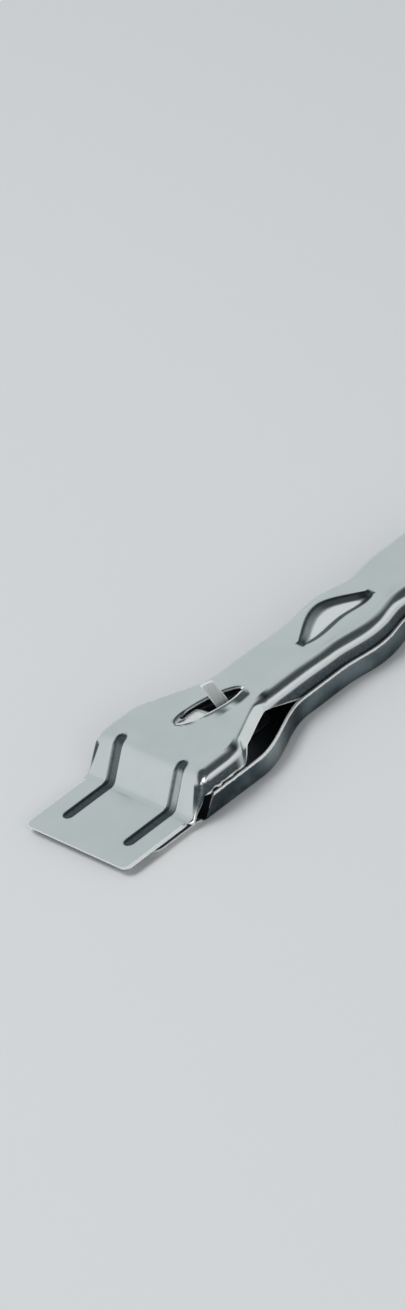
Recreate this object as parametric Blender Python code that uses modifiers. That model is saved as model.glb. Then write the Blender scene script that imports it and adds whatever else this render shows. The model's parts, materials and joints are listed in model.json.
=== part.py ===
"""Hand scraper of pressed, plated steel sheet with a sliding razor blade.

The tool lies flat on its lower channel. X runs along it, with the scraping edge at -X and the grip at +X,
Y runs across it, and Z is up. The origin is on the resting plane, in the middle of the tool's plan box.
Places along the tool are measured from the front edge of the upper tongue and moved by HALF_LENGTH.
"""
import math

import bmesh
import bpy

# Overall sizes, in metres
TOOL_LENGTH = 0.149
TONGUE_LENGTH = 0.0245
RAMP_RUN = 0.0068
DECK_HEIGHT = 0.0132
SHEET = 0.0006
SEAT_GAP = 0.0003
CUT_OVERRUN = 0.002
MERGE_DISTANCE = 0.00001

# Lower channel
CHANNEL_WALL_HEIGHT = 0.0064
CHANNEL_HEAD_HALF_WIDTH = 0.0220
CHANNEL_BEND_RADIUS = 0.0013
CHANNEL_FRONT = 0.0106
CHANNEL_TONGUE_RISE = 0.00025
CHANNEL_TONGUE_INSET = 0.0005
CHANNEL_TONGUE_CORNER = 0.0030
CHANNEL_STEP_LENGTH = 0.0030
CHANNEL_WALL_SETBACK = 0.0023
CHANNEL_WALL_LEAN = 0.0042
CHANNEL_WALL_LEAN_REACH = 0.0080
CHANNEL_SHOULDER_LAG = 0.0090
CHANNEL_REAR_WALL_HEIGHT = 0.0048
CHANNEL_REAR_CORNER = 0.0050
NEST_CLEARANCE = 0.0004

# Scraping stack between the two tongues, from the bottom up
STACK_GAP = 0.00025
CARRIAGE_THICKNESS = 0.00035
BLADE_THICKNESS = 0.0002

# Upper cover
TONGUE_INSET = 0.0010
TONGUE_CORNER = 0.0025
HEAD_INSET = 0.0002
GRIP_FLAT_HALF_WIDTH = 0.0082
SHOULDER_START = 0.0410
SHOULDER_LENGTH = 0.0260
COVER_BEND_RADIUS = 0.0035
RAMP_FOOT_RADIUS = 0.0022
RAMP_CREST_RADIUS = 0.0050
SWELL_PLACE = 0.1035
SWELL_REACH = 0.0130
SWELL_DEPTH = 0.0016
WAIST_PLACE = 0.1165
WAIST_REACH = 0.0095
WAIST_DEPTH = 0.0009
TAIL_WIDENING = 0.0004
TAIL_START = 0.1180
TAIL_BLEND = 0.0080
COVER_REAR_CORNER = 0.0030
COVER_REAR_SETBACK = 0.0030
SKIRT_NEST_DEPTH = 0.0019
SKIRT_REAR_RISE = 0.0016
SIDE_WINDOW_START = 0.0444
SIDE_WINDOW_LENGTH = 0.0156
SIDE_WINDOW_BLEND = 0.0045
SIDE_WINDOW_FALL = 0.0220
SIDE_WINDOW_DROP = 0.0004
RAMP_SKIRT_DROP = 0.0006

# Eye-shaped slot for the thumb lug, with a dished rim, lying askew on the deck
SLOT_FRONT = 0.0444
SLOT_LENGTH = 0.0205
SLOT_HALF_WIDTH = 0.0035
SLOT_RIM_WIDTH = 0.0011
SLOT_RIM_DROP = 0.0008
SLOT_END_HALF_WIDTH = 0.0004
SLOT_SHIFT = 0.00075
SLOT_SKEW_SHARE = -0.22

# Sunk thumb panel in the grip: a leaf whose far side bulges more than its near side
PANEL_FRONT = 0.0860
PANEL_LENGTH = 0.0285
PANEL_HALF_WIDTH = 0.0061
PANEL_DEPTH = 0.0013
PANEL_WALL_WIDTH = 0.0028
PANEL_TIP_LENGTH = 0.0160
PANEL_BULGE_SHARE = 0.65
PANEL_END_HALF_WIDTH = 0.0007
PANEL_END_SHIFT = -0.0020
PANEL_PEAK_SHIFT = 0.0021
PANEL_FADE = 0.0080

# Hinge at the rear
HINGE_SETBACK = 0.0105
HINGE_HEIGHT = 0.0040
HINGE_PIN_RADIUS = 0.0012
HINGE_HOLE_CLEARANCE = 0.0003
HINGE_EAR_RADIUS = 0.0024
HINGE_HEAD_RADIUS = 0.0024
HINGE_HEAD_THICKNESS = 0.0008
HINGE_SPACER_WALL = 0.0004

# Blade and its carriage
BLADE_WIDTH = 0.0390
BLADE_DEPTH = 0.0200
BLADE_SETBACK = 0.0015
BLADE_CORNER = 0.0010
BLADE_STUD_SPACING = 0.0216
BLADE_STUD_RADIUS = 0.0012
BLADE_STUD_SETBACK = 0.0155
BLADE_HOLE_CLEARANCE = 0.0003
CARRIAGE_FRONT = 0.0120
CARRIAGE_REAR = 0.0700
CARRIAGE_HEAD_HALF_WIDTH = 0.0160
CARRIAGE_STEM_HALF_WIDTH = 0.0060
CARRIAGE_HEAD_LENGTH = 0.0160
CARRIAGE_NECK_LENGTH = 0.0120
CARRIAGE_REAR_CORNER = 0.0040

# Thumb lug, a bent strip whose upright stands along the slot and rakes forward; its place is at the deck
LUG_PLACE = 0.05825
LUG_ACROSS = 0.00105
LUG_WIDTH = 0.0039
LUG_THICKNESS = 0.0008
LUG_FOOT_LENGTH = 0.0046
LUG_PROUD = 0.0055
LUG_RAKE_SHARE = 0.32
LUG_TURN = math.radians(-20.0)

# Leaf spring under the slot
SPRING_FOOT_PLACE = 0.0345
SPRING_FOOT_LENGTH = 0.0060
SPRING_HALF_WIDTH = 0.0026
SPRING_THICKNESS = 0.0004
SPRING_CREST_PLACE = 0.0500
SPRING_REAR_PLACE = 0.0548
SPRING_CREST_CLEARANCE = 0.0014
SPRING_CURL_DROP = 0.0022

# Rivets
RIVET_SHANK_RADIUS = 0.0010
RIVET_HEAD_RADIUS = 0.0018
RIVET_HEAD_THICKNESS = 0.0005
RIVET_CLEARANCE = 0.0003

HALF_LENGTH = TOOL_LENGTH / 2
TONGUE_HALF_WIDTH = CHANNEL_HEAD_HALF_WIDTH - TONGUE_INSET
CHANNEL_TONGUE_HALF_WIDTH = TONGUE_HALF_WIDTH - CHANNEL_TONGUE_INSET
HEAD_FLAT_HALF_WIDTH = CHANNEL_HEAD_HALF_WIDTH - HEAD_INSET - COVER_BEND_RADIUS
PIN_SEGMENTS = 24
RIVET_SEGMENTS = 16
BEND_STEPS = 4
RAMP_MIDDLE_SHARE = 0.4

CHANNEL_TONGUE_TOP = CHANNEL_TONGUE_RISE + SHEET
CARRIAGE_BOTTOM = CHANNEL_TONGUE_TOP + STACK_GAP
CARRIAGE_TOP = CARRIAGE_BOTTOM + CARRIAGE_THICKNESS
BLADE_BOTTOM = CARRIAGE_TOP + STACK_GAP
BLADE_TOP = BLADE_BOTTOM + BLADE_THICKNESS
TONGUE_TOP = BLADE_TOP + STACK_GAP + SHEET
DECK_UNDERSIDE = DECK_HEIGHT - SHEET
COVER_REAR = TOOL_LENGTH - COVER_REAR_SETBACK
HINGE_PLACE = TOOL_LENGTH - HINGE_SETBACK
RAMP_TOP = TONGUE_LENGTH + RAMP_RUN
SKIRT_HEAD_EDGE = CHANNEL_WALL_HEIGHT + SEAT_GAP
SKIRT_GRIP_EDGE = CHANNEL_WALL_HEIGHT - SKIRT_NEST_DEPTH
SKIRT_REAR_EDGE = CHANNEL_REAR_WALL_HEIGHT + SKIRT_REAR_RISE
WALL_FRONT = RAMP_TOP - CHANNEL_WALL_SETBACK
GRIP_NEST = COVER_BEND_RADIUS + NEST_CLEARANCE + SHEET


def along(place):
    """World X of a place measured from the front edge of the tongue."""
    return place - HALF_LENGTH


def smooth(share):
    """Smooth step from 0 to 1."""
    share = min(1.0, max(0.0, share))
    return share * share * (3.0 - 2.0 * share)


def hump(place, middle, reach):
    """A smooth hump of height 1 in the middle that ends at its reach."""
    return smooth(1.0 - abs(place - middle) / reach)


def mix(first, second, share):
    return first + (second - first) * share


def grip_flat(place):
    """Half width of the flat part of the grip's deck."""
    return (GRIP_FLAT_HALF_WIDTH
            + SWELL_DEPTH * hump(place, SWELL_PLACE, SWELL_REACH)
            - WAIST_DEPTH * hump(place, WAIST_PLACE, WAIST_REACH)
            + TAIL_WIDENING * smooth((place - TAIL_START) / TAIL_BLEND))


def deck_flat(place):
    """Half width of the flat part of the cover, behind the ramp's foot."""
    if place < RAMP_TOP:
        return mix(TONGUE_HALF_WIDTH, HEAD_FLAT_HALF_WIDTH, (place - TONGUE_LENGTH) / RAMP_RUN)
    return mix(HEAD_FLAT_HALF_WIDTH, grip_flat(place), smooth((place - SHOULDER_START) / SHOULDER_LENGTH))


def channel_half(place):
    """Outer half width of the channel, which follows the cover's grip at a nesting clearance."""
    shoulder = SHOULDER_START + CHANNEL_SHOULDER_LAG
    return mix(CHANNEL_HEAD_HALF_WIDTH, grip_flat(place) + GRIP_NEST,
               smooth((place - shoulder) / SHOULDER_LENGTH))


def spread(first, last, step):
    """Places from first to last, about one step apart, both ends included."""
    count = max(1, round((last - first) / step))
    return [mix(first, last, index / count) for index in range(count + 1)]


def ordered(places):
    """Places in order without near repeats."""
    kept = []
    for place in sorted(places):
        if not kept or place - kept[-1] > SHEET / 4:
            kept.append(place)
    return kept


def crest_length():
    """How far the rounded crest of the ramp runs onto the deck."""
    return RAMP_CREST_RADIUS * math.tan(math.atan2(DECK_HEIGHT - TONGUE_TOP, RAMP_RUN) / 2)


def ramp_profile():
    """Places and heights of the cover's top along its middle, through the two rounded ramp bends."""
    rise = DECK_HEIGHT - TONGUE_TOP
    slope = math.atan2(rise, RAMP_RUN)
    foot_reach = RAMP_FOOT_RADIUS * math.tan(slope / 2)
    crest_reach = crest_length()
    points = []
    for step in range(BEND_STEPS + 1):
        turn = slope * step / BEND_STEPS
        points.append((TONGUE_LENGTH - foot_reach + RAMP_FOOT_RADIUS * math.sin(turn),
                       TONGUE_TOP + RAMP_FOOT_RADIUS * (1.0 - math.cos(turn))))
    points.append((mix(TONGUE_LENGTH, RAMP_TOP, RAMP_MIDDLE_SHARE),
                   mix(TONGUE_TOP, DECK_HEIGHT, RAMP_MIDDLE_SHARE)))
    for step in range(BEND_STEPS, -1, -1):
        turn = slope * step / BEND_STEPS
        points.append((RAMP_TOP + crest_reach - RAMP_CREST_RADIUS * math.sin(turn),
                       DECK_HEIGHT - RAMP_CREST_RADIUS * (1.0 - math.cos(turn))))
    return points


def slot_half(place):
    """Half width of the thumb slot."""
    share = (place - SLOT_FRONT) / SLOT_LENGTH * 2.0 - 1.0
    return max(SLOT_END_HALF_WIDTH, SLOT_HALF_WIDTH * math.sqrt(max(0.0, 1.0 - share * share)))


def panel_share(place):
    """How far a place is from the nearer end of the sunk panel to its widest part, from 0 to 1."""
    front = (place - PANEL_FRONT) / PANEL_TIP_LENGTH
    rear = (PANEL_FRONT + PANEL_LENGTH - place) / (PANEL_LENGTH - PANEL_TIP_LENGTH)
    return min(1.0, max(0.0, min(front, rear)))


def panel_half(place):
    """Half width of the sunk panel at the deck, a leaf that is blunt at both ends."""
    bulge = math.sin(math.pi / 2 * panel_share(place)) ** PANEL_BULGE_SHARE
    return max(PANEL_END_HALF_WIDTH, PANEL_HALF_WIDTH * bulge)


def panel_shift(place):
    """How far across the tool the panel's middle line lies at a place."""
    return mix(PANEL_END_SHIFT, PANEL_PEAK_SHIFT, smooth(panel_share(place)))


def slot_shift(place):
    """How far across the tool the slot's middle line lies at a place."""
    return SLOT_SHIFT + SLOT_SKEW_SHARE * (place - SLOT_FRONT - SLOT_LENGTH / 2)


def deck_shift(place):
    """How far across the tool the middle line of what is pressed into the deck lies at a place."""
    deck_start = RAMP_TOP + crest_length()
    slot_end = SLOT_FRONT + SLOT_LENGTH
    panel_end = PANEL_FRONT + PANEL_LENGTH
    if place < SLOT_FRONT:
        return slot_shift(SLOT_FRONT) * smooth((place - deck_start) / (SLOT_FRONT - deck_start))
    if place <= slot_end:
        return slot_shift(place)
    if place < PANEL_FRONT:
        share = smooth((place - slot_end) / (PANEL_FRONT - slot_end))
        return mix(slot_shift(slot_end), panel_shift(PANEL_FRONT), share)
    if place <= panel_end:
        return panel_shift(place)
    return panel_shift(panel_end) * (1.0 - smooth((place - panel_end) / PANEL_FADE))


def set_askew(data):
    """Moves the slot and the sunk panel across the tool, fading out towards the flat's edge."""
    for vertex in data.vertices:
        place = vertex.co.x + HALF_LENGTH
        half = deck_flat(place)
        rim = deck_columns(place, half)[2][0]
        reach = (half - abs(vertex.co.y)) / (half - rim)
        vertex.co.y += deck_shift(place) * min(1.0, max(0.0, reach))


def in_slot(place):
    return SLOT_FRONT <= place <= SLOT_FRONT + SLOT_LENGTH


def in_panel(place):
    return PANEL_FRONT <= place <= PANEL_FRONT + PANEL_LENGTH


def deck_columns(place, half):
    """Distances from the middle, and drops below the deck, of the points across the flat of the cover."""
    if in_slot(place):
        hole = slot_half(place)
        rim = hole + SLOT_RIM_WIDTH
        return [(0.0, SLOT_RIM_DROP), (hole, SLOT_RIM_DROP), (rim, 0.0), ((rim + half) / 2, 0.0), (half, 0.0)]
    if in_panel(place):
        edge = panel_half(place)
        floor = max(edge - PANEL_WALL_WIDTH, edge / 2)
        drop = PANEL_DEPTH * min(1.0, (edge - floor) / PANEL_WALL_WIDTH)
        return [(0.0, drop), (floor, drop), (edge, 0.0), ((edge + half) / 2, 0.0), (half, 0.0)]
    if place < SLOT_FRONT:
        inner = slot_half(SLOT_FRONT) + (SLOT_FRONT - place) / 4
    elif place < PANEL_FRONT:
        inner = min(slot_half(SLOT_FRONT) + (place - SLOT_FRONT - SLOT_LENGTH) / 4,
                    PANEL_END_HALF_WIDTH + (PANEL_FRONT - place) / 4)
    else:
        inner = PANEL_END_HALF_WIDTH + (place - PANEL_FRONT - PANEL_LENGTH) / 4
    inner = min(inner, half / 4)
    outer = inner + SLOT_RIM_WIDTH
    return [(0.0, 0.0), (inner, 0.0), (outer, 0.0), ((outer + half) / 2, 0.0), (half, 0.0)]


def floor_columns(half):
    """Distances from the middle, and drops, of the points across the channel's floor."""
    return [(0.0, 0.0), (half / 2, 0.0), (half, 0.0)]


def cover_bend(place):
    """Bend angle, and height of the lower edge of the skirt, at a place along the cover's side."""
    window_end = SIDE_WINDOW_START + SIDE_WINDOW_LENGTH
    bend_foot = DECK_HEIGHT - COVER_BEND_RADIUS
    opened = smooth((place - SIDE_WINDOW_START) / SIDE_WINDOW_BLEND)
    window = opened * (1.0 - smooth((place - window_end) / SIDE_WINDOW_BLEND))
    raised = opened * (1.0 - smooth((place - window_end) / SIDE_WINDOW_FALL))
    if place < RAMP_TOP + crest_length():
        share = smooth((place - TONGUE_LENGTH) / (RAMP_RUN + crest_length()))
        return math.radians(90.0), mix(TONGUE_TOP, SKIRT_HEAD_EDGE, share)
    edge = SKIRT_HEAD_EDGE if place < window_end - SIDE_WINDOW_LENGTH / 2 else SKIRT_GRIP_EDGE
    ear = abs(place - HINGE_PLACE)
    if ear < HINGE_EAR_RADIUS:
        edge = HINGE_HEIGHT - math.sqrt(HINGE_EAR_RADIUS ** 2 - ear ** 2)
        edge = min(edge, SKIRT_GRIP_EDGE)
    elif place > HINGE_PLACE:
        edge = mix(SKIRT_GRIP_EDGE, SKIRT_REAR_EDGE, smooth((ear - HINGE_EAR_RADIUS) / HINGE_EAR_RADIUS))
    edge = mix(edge, bend_foot + COVER_BEND_RADIUS / 4 - SIDE_WINDOW_DROP, raised)
    return mix(math.radians(90.0), math.radians(55.0), window), edge


def add_row(mesh, place, height, columns):
    return [mesh.verts.new((along(place), across, height - drop)) for across, drop in columns]


def fill_rows(mesh, rows, upward, skip):
    """Faces between neighbouring rows, with normals up or down."""
    for index in range(len(rows) - 1):
        near, far = rows[index], rows[index + 1]
        for column in range(len(near) - 1):
            if skip(index, column):
                continue
            corners = [near[column], far[column], far[column + 1], near[column + 1]]
            mesh.faces.new(corners if upward else corners[::-1])


def fold_side(mesh, chain, steps, downward):
    """Bends the edge of a sheet: rings round the bend, then one more ring at the skirt's free edge.

    chain is a list of (vertex, outward direction, bend radius, bend angle, height of the free edge, lean).
    """
    sign = -1.0 if downward else 1.0
    rings = []
    for vertex, outward, radius, angle, edge, lean in chain:
        ring = [vertex]
        base = vertex.co.copy()
        for step in range(1, steps + 1):
            turn = angle * step / steps
            out = radius * math.sin(turn)
            drop = radius * (1.0 - math.cos(turn))
            ring.append((base.x + outward[0] * out, base.y + outward[1] * out, base.z + sign * drop))
        last = ring[-1]
        fall = max(abs(edge - last[2]), SHEET / 2)
        spill = fall / math.tan(angle) if angle < math.radians(89.0) else 0.0
        ring.append((last[0] + outward[0] * spill + lean, last[1] + outward[1] * spill, last[2] + sign * fall))
        rings.append([vertex] + [mesh.verts.new(point) for point in ring[1:]])
    for near, far in zip(rings, rings[1:]):
        for column in range(len(near) - 1):
            corners = [near[column], far[column], far[column + 1], near[column + 1]]
            mesh.faces.new(corners if downward else corners[::-1])
    return rings


def outward_at(half, place):
    """Outward direction in plan of an edge whose half width is a function of the place."""
    small = SHEET / 2
    slope = (half(place + small) - half(place - small)) / (2 * small)
    size = math.hypot(slope, 1.0)
    return -slope / size, 1.0 / size


def material(name, colour, roughness, metallic):
    finish = bpy.data.materials.new(name)
    finish.use_nodes = True
    shader = finish.node_tree.nodes["Principled BSDF"]
    shader.inputs["Base Color"].default_value = (*colour, 1.0)
    shader.inputs["Roughness"].default_value = roughness
    shader.inputs["Metallic"].default_value = metallic
    return finish


def collection(name):
    made = bpy.data.collections.new(name)
    bpy.context.scene.collection.children.link(made)
    return made


def new_object(name, data, home, finish):
    made = bpy.data.objects.new(name, data)
    home.objects.link(made)
    if finish is not None:
        made.data.materials.append(finish)
    return made


def mirrored_sheet(name, mesh, home, finish):
    """A sheet without thickness, mirrored from its half."""
    bmesh.ops.remove_doubles(mesh, verts=mesh.verts, dist=MERGE_DISTANCE)
    data = bpy.data.meshes.new(name)
    mesh.to_mesh(data)
    mesh.free()
    data.shade_smooth()
    made = new_object(name, data, home, finish)
    mirror = made.modifiers.new("Both sides", "MIRROR")
    mirror.use_axis = (False, True, False)
    mirror.merge_threshold = MERGE_DISTANCE
    return made


def thicken(made):
    """Gives a sheet its thickness on its inner side."""
    thick = made.modifiers.new("Sheet thickness", "SOLIDIFY")
    thick.thickness = SHEET
    thick.offset = -1.0
    thick.use_even_offset = True
    return made


def cut_away(target, cutter):
    cut = target.modifiers.new("Cut " + cutter.name, "BOOLEAN")
    cut.operation = "DIFFERENCE"
    cut.object = cutter


def turned(name, profile, segments, home, finish, location, across):
    """A turned piece from its profile, its axis upright or across the tool."""
    mesh = bmesh.new()
    points = [mesh.verts.new((radius, 0.0, height)) for radius, height in profile]
    closed = profile[0][0] > 0.0
    for near, far in zip(points, points[1:]):
        mesh.edges.new((near, far))
    if closed:
        mesh.edges.new((points[-1], points[0]))
    data = bpy.data.meshes.new(name)
    mesh.to_mesh(data)
    mesh.free()
    made = new_object(name, data, home, finish)
    screw = made.modifiers.new("Turn", "SCREW")
    screw.steps = segments
    screw.render_steps = segments
    screw.use_merge_vertices = True
    screw.merge_threshold = MERGE_DISTANCE
    made.location = location
    if across:
        made.rotation_euler = (math.radians(90.0), 0.0, 0.0)
    return made


def flat_plate(name, outlines, thickness, home, finish, location):
    """A flat plate from closed outlines: the first is its edge and the others are its holes."""
    data = bpy.data.curves.new(name, "CURVE")
    data.dimensions = "2D"
    data.fill_mode = "BOTH"
    data.extrude = thickness / 2
    for outline in outlines:
        spline = data.splines.new("POLY")
        spline.points.add(len(outline) - 1)
        for point, (first, second) in zip(spline.points, outline):
            point.co = (first, second, 0.0, 1.0)
        spline.use_cyclic_u = True
    made = new_object(name, data, home, finish)
    made.location = location
    return made


def circle(middle, radius, segments):
    return [(middle[0] + radius * math.cos(2 * math.pi * step / segments),
             middle[1] + radius * math.sin(2 * math.pi * step / segments)) for step in range(segments)]


def make_cover(home, finish, cutters):
    """Upper pressing: tongue, ramp, deck with slot and sunk panel, and the folded skirt."""
    mesh = bmesh.new()
    rows, places = [], []
    for step in range(BEND_STEPS + 1):
        turn = math.pi / 2 * step / BEND_STEPS
        place = TONGUE_CORNER * (1.0 - math.cos(turn))
        half = TONGUE_HALF_WIDTH - TONGUE_CORNER * (1.0 - math.sin(turn))
        rows.append(add_row(mesh, place, TONGUE_TOP, deck_columns(place, half)))
        places.append(place)
    profile = ramp_profile()
    for place in spread(TONGUE_CORNER, profile[0][0], TONGUE_LENGTH / 3)[1:-1]:
        rows.append(add_row(mesh, place, TONGUE_TOP, deck_columns(place, TONGUE_HALF_WIDTH)))
        places.append(place)
    for place, height in profile:
        half = deck_flat(max(place, TONGUE_LENGTH))
        rows.append(add_row(mesh, place, height, deck_columns(place, half)))
        places.append(place)
    flat_end = COVER_REAR - COVER_BEND_RADIUS
    corner = flat_end - COVER_REAR_CORNER
    window_end = SIDE_WINDOW_START + SIDE_WINDOW_LENGTH
    wanted = spread(profile[-1][0], SLOT_FRONT, SLOT_LENGTH / 8)
    wanted += [SLOT_FRONT + SLOT_LENGTH * (1.0 - math.cos(math.pi * step / 12)) / 2 for step in range(13)]
    wanted += spread(SLOT_FRONT + SLOT_LENGTH, PANEL_FRONT, SLOT_LENGTH / 7)
    tail = PANEL_LENGTH - PANEL_TIP_LENGTH
    wanted += [PANEL_FRONT + PANEL_TIP_LENGTH * (step / 8) ** 1.5 for step in range(9)]
    wanted += [PANEL_FRONT + PANEL_LENGTH - tail * (step / 7) ** 1.5 for step in range(8)]
    wanted += spread(PANEL_FRONT + PANEL_LENGTH, HINGE_PLACE - HINGE_EAR_RADIUS, HINGE_EAR_RADIUS)
    wanted += [HINGE_PLACE - HINGE_EAR_RADIUS * math.cos(math.pi * step / 8) for step in range(9)]
    wanted += spread(SIDE_WINDOW_START, SIDE_WINDOW_START + SIDE_WINDOW_BLEND, SIDE_WINDOW_BLEND / 3)
    wanted += spread(window_end, window_end + SIDE_WINDOW_FALL, SIDE_WINDOW_BLEND / 2)
    keep = [place for place in ordered(wanted) if profile[-1][0] + SHEET < place < corner - SHEET]
    for place in keep:
        rows.append(add_row(mesh, place, DECK_HEIGHT, deck_columns(place, deck_flat(place))))
        places.append(place)
    outwards = [outward_at(deck_flat, max(place, RAMP_TOP)) for place in places]
    for step in range(BEND_STEPS + 1):
        turn = math.pi / 2 * step / BEND_STEPS
        place = corner + COVER_REAR_CORNER * math.sin(turn)
        half = deck_flat(corner) - COVER_REAR_CORNER * (1.0 - math.cos(turn))
        rows.append(add_row(mesh, place, DECK_HEIGHT, deck_columns(place, half)))
        places.append(place)
        outwards.append((math.sin(turn), math.cos(turn)))

    def open_slot(index, column):
        middle = (places[index] + places[index + 1]) / 2
        return column == 0 and in_slot(middle)

    fill_rows(mesh, rows, True, open_slot)
    chain = []
    for row, place, outward in zip(rows, places, outwards):
        if place < TONGUE_LENGTH:
            continue
        angle, edge = cover_bend(place)
        radius = COVER_BEND_RADIUS * mix(0.25, 1.0, smooth((place - TONGUE_LENGTH) / RAMP_RUN))
        if place < RAMP_TOP:
            edge = max(edge, row[-1].co.z - radius - RAMP_SKIRT_DROP)
        chain.append((row[-1], outward, radius, angle, edge, 0.0))
    for vertex in rows[-1][-2::-1]:
        chain.append((vertex, (1.0, 0.0), COVER_BEND_RADIUS, math.radians(90.0), SKIRT_REAR_EDGE, 0.0))
    fold_side(mesh, chain, BEND_STEPS, True)
    cover = meshed(mirrored_sheet("cover_half", mesh, home, finish), "top_cover", home)
    set_askew(cover.data)
    thicken(cover)
    for cutter in cutters:
        cut_away(cover, cutter)
    return cover


def make_channel(home, finish, cutters):
    """Lower pressing: short tongue, step, floor and the wall that runs round the grip's end."""
    mesh = bmesh.new()
    rows, places = [], []
    for step in range(BEND_STEPS + 1):
        turn = math.pi / 2 * step / BEND_STEPS
        place = CHANNEL_FRONT + CHANNEL_TONGUE_CORNER * (1.0 - math.cos(turn))
        half = CHANNEL_TONGUE_HALF_WIDTH - CHANNEL_TONGUE_CORNER * (1.0 - math.sin(turn))
        rows.append(add_row(mesh, place, CHANNEL_TONGUE_RISE, floor_columns(half)))
        places.append(place)
    for share in (0.0, 1 / 3, 2 / 3):
        place = WALL_FRONT - CHANNEL_STEP_LENGTH * (1.0 - share)
        height = CHANNEL_TONGUE_RISE * (1.0 - smooth(share))
        rows.append(add_row(mesh, place, height, floor_columns(CHANNEL_TONGUE_HALF_WIDTH)))
        places.append(place)
    end = TOOL_LENGTH - CHANNEL_BEND_RADIUS
    corner = end - CHANNEL_REAR_CORNER
    shoulder = SHOULDER_START + CHANNEL_SHOULDER_LAG
    wanted = spread(WALL_FRONT, shoulder, SHOULDER_LENGTH / 7)
    wanted += spread(shoulder, shoulder + SHOULDER_LENGTH, SHOULDER_LENGTH / 12)
    wanted += spread(shoulder + SHOULDER_LENGTH, corner, SWELL_REACH / 5)

    def floor_half(place):
        return channel_half(place) - CHANNEL_BEND_RADIUS

    first_wall = len(rows)
    outwards = [(0.0, 1.0)] * first_wall
    for place in ordered(wanted)[:-1]:
        rows.append(add_row(mesh, place, 0.0, floor_columns(floor_half(place))))
        places.append(place)
        outwards.append(outward_at(channel_half, place))
    for step in range(BEND_STEPS + 1):
        turn = math.pi / 2 * step / BEND_STEPS
        place = corner + CHANNEL_REAR_CORNER * math.sin(turn)
        half = floor_half(corner) - CHANNEL_REAR_CORNER * (1.0 - math.cos(turn))
        rows.append(add_row(mesh, place, 0.0, floor_columns(half)))
        places.append(place)
        outwards.append((math.sin(turn), math.cos(turn)))
    fill_rows(mesh, rows, False, lambda index, column: False)
    chain = []
    for row, place, outward in list(zip(rows, places, outwards))[first_wall:]:
        lean = CHANNEL_WALL_LEAN * (1.0 - smooth((place - WALL_FRONT) / CHANNEL_WALL_LEAN_REACH))
        share = smooth((place - corner) / (CHANNEL_REAR_CORNER / 2))
        edge = mix(CHANNEL_WALL_HEIGHT, CHANNEL_REAR_WALL_HEIGHT, share)
        chain.append((row[-1], outward, CHANNEL_BEND_RADIUS, math.radians(90.0), edge, lean))
    for vertex in rows[-1][-2::-1]:
        chain.append((vertex, (1.0, 0.0), CHANNEL_BEND_RADIUS, math.radians(90.0),
                      CHANNEL_REAR_WALL_HEIGHT, 0.0))
    fold_side(mesh, chain, BEND_STEPS - 1, False)
    channel = thicken(mirrored_sheet("lower_channel", mesh, home, finish))
    for cutter in cutters:
        cut_away(channel, cutter)
    return channel


def make_hinge(home, finish, spacer_finish):
    """Rivet through both pressings at the rear, and the spacer tube on it between the cover's sides."""
    outer = channel_half(HINGE_PLACE) + SEAT_GAP
    end = outer + HINGE_HEAD_THICKNESS
    edge = HINGE_HEAD_THICKNESS / 3
    profile = [(0.0, end), (HINGE_HEAD_RADIUS - edge, end), (HINGE_HEAD_RADIUS, end - edge),
               (HINGE_HEAD_RADIUS, outer), (HINGE_PIN_RADIUS, outer)]
    profile += [(radius, -height) for radius, height in reversed(profile)]
    place = (along(HINGE_PLACE), 0.0, HINGE_HEIGHT)
    pin = turned("hinge_pin", profile, PIN_SEGMENTS, home, finish, place, True)
    inner = HINGE_PIN_RADIUS + HINGE_HOLE_CLEARANCE
    reach = deck_flat(HINGE_PLACE) + COVER_BEND_RADIUS - SHEET - SEAT_GAP
    rim = inner + HINGE_SPACER_WALL
    tube = [(rim, reach), (rim, -reach), (inner, -reach), (inner, reach)]
    spacer = turned("hinge_spacer", tube, PIN_SEGMENTS, home, spacer_finish, place, True)
    return pin, spacer


def make_blade(home, finish):
    """Thin razor blade with its edge forward and two holes for the carriage's studs."""
    half, corner = BLADE_WIDTH / 2, BLADE_CORNER
    front, back = BLADE_SETBACK, BLADE_SETBACK + BLADE_DEPTH
    edge = [(front, -half), (back - corner, -half), (back, corner - half), (back, half - corner),
            (back - corner, half), (front, half)]
    holes = [circle((along(BLADE_STUD_SETBACK), side * BLADE_STUD_SPACING / 2),
                    BLADE_STUD_RADIUS + BLADE_HOLE_CLEARANCE, RIVET_SEGMENTS) for side in (-1, 1)]
    outline = [(along(place), across) for place, across in edge]
    middle = BLADE_BOTTOM + BLADE_THICKNESS / 2
    return flat_plate("scraper_blade", [outline] + holes, BLADE_THICKNESS, home, finish, (0.0, 0.0, middle))


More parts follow.
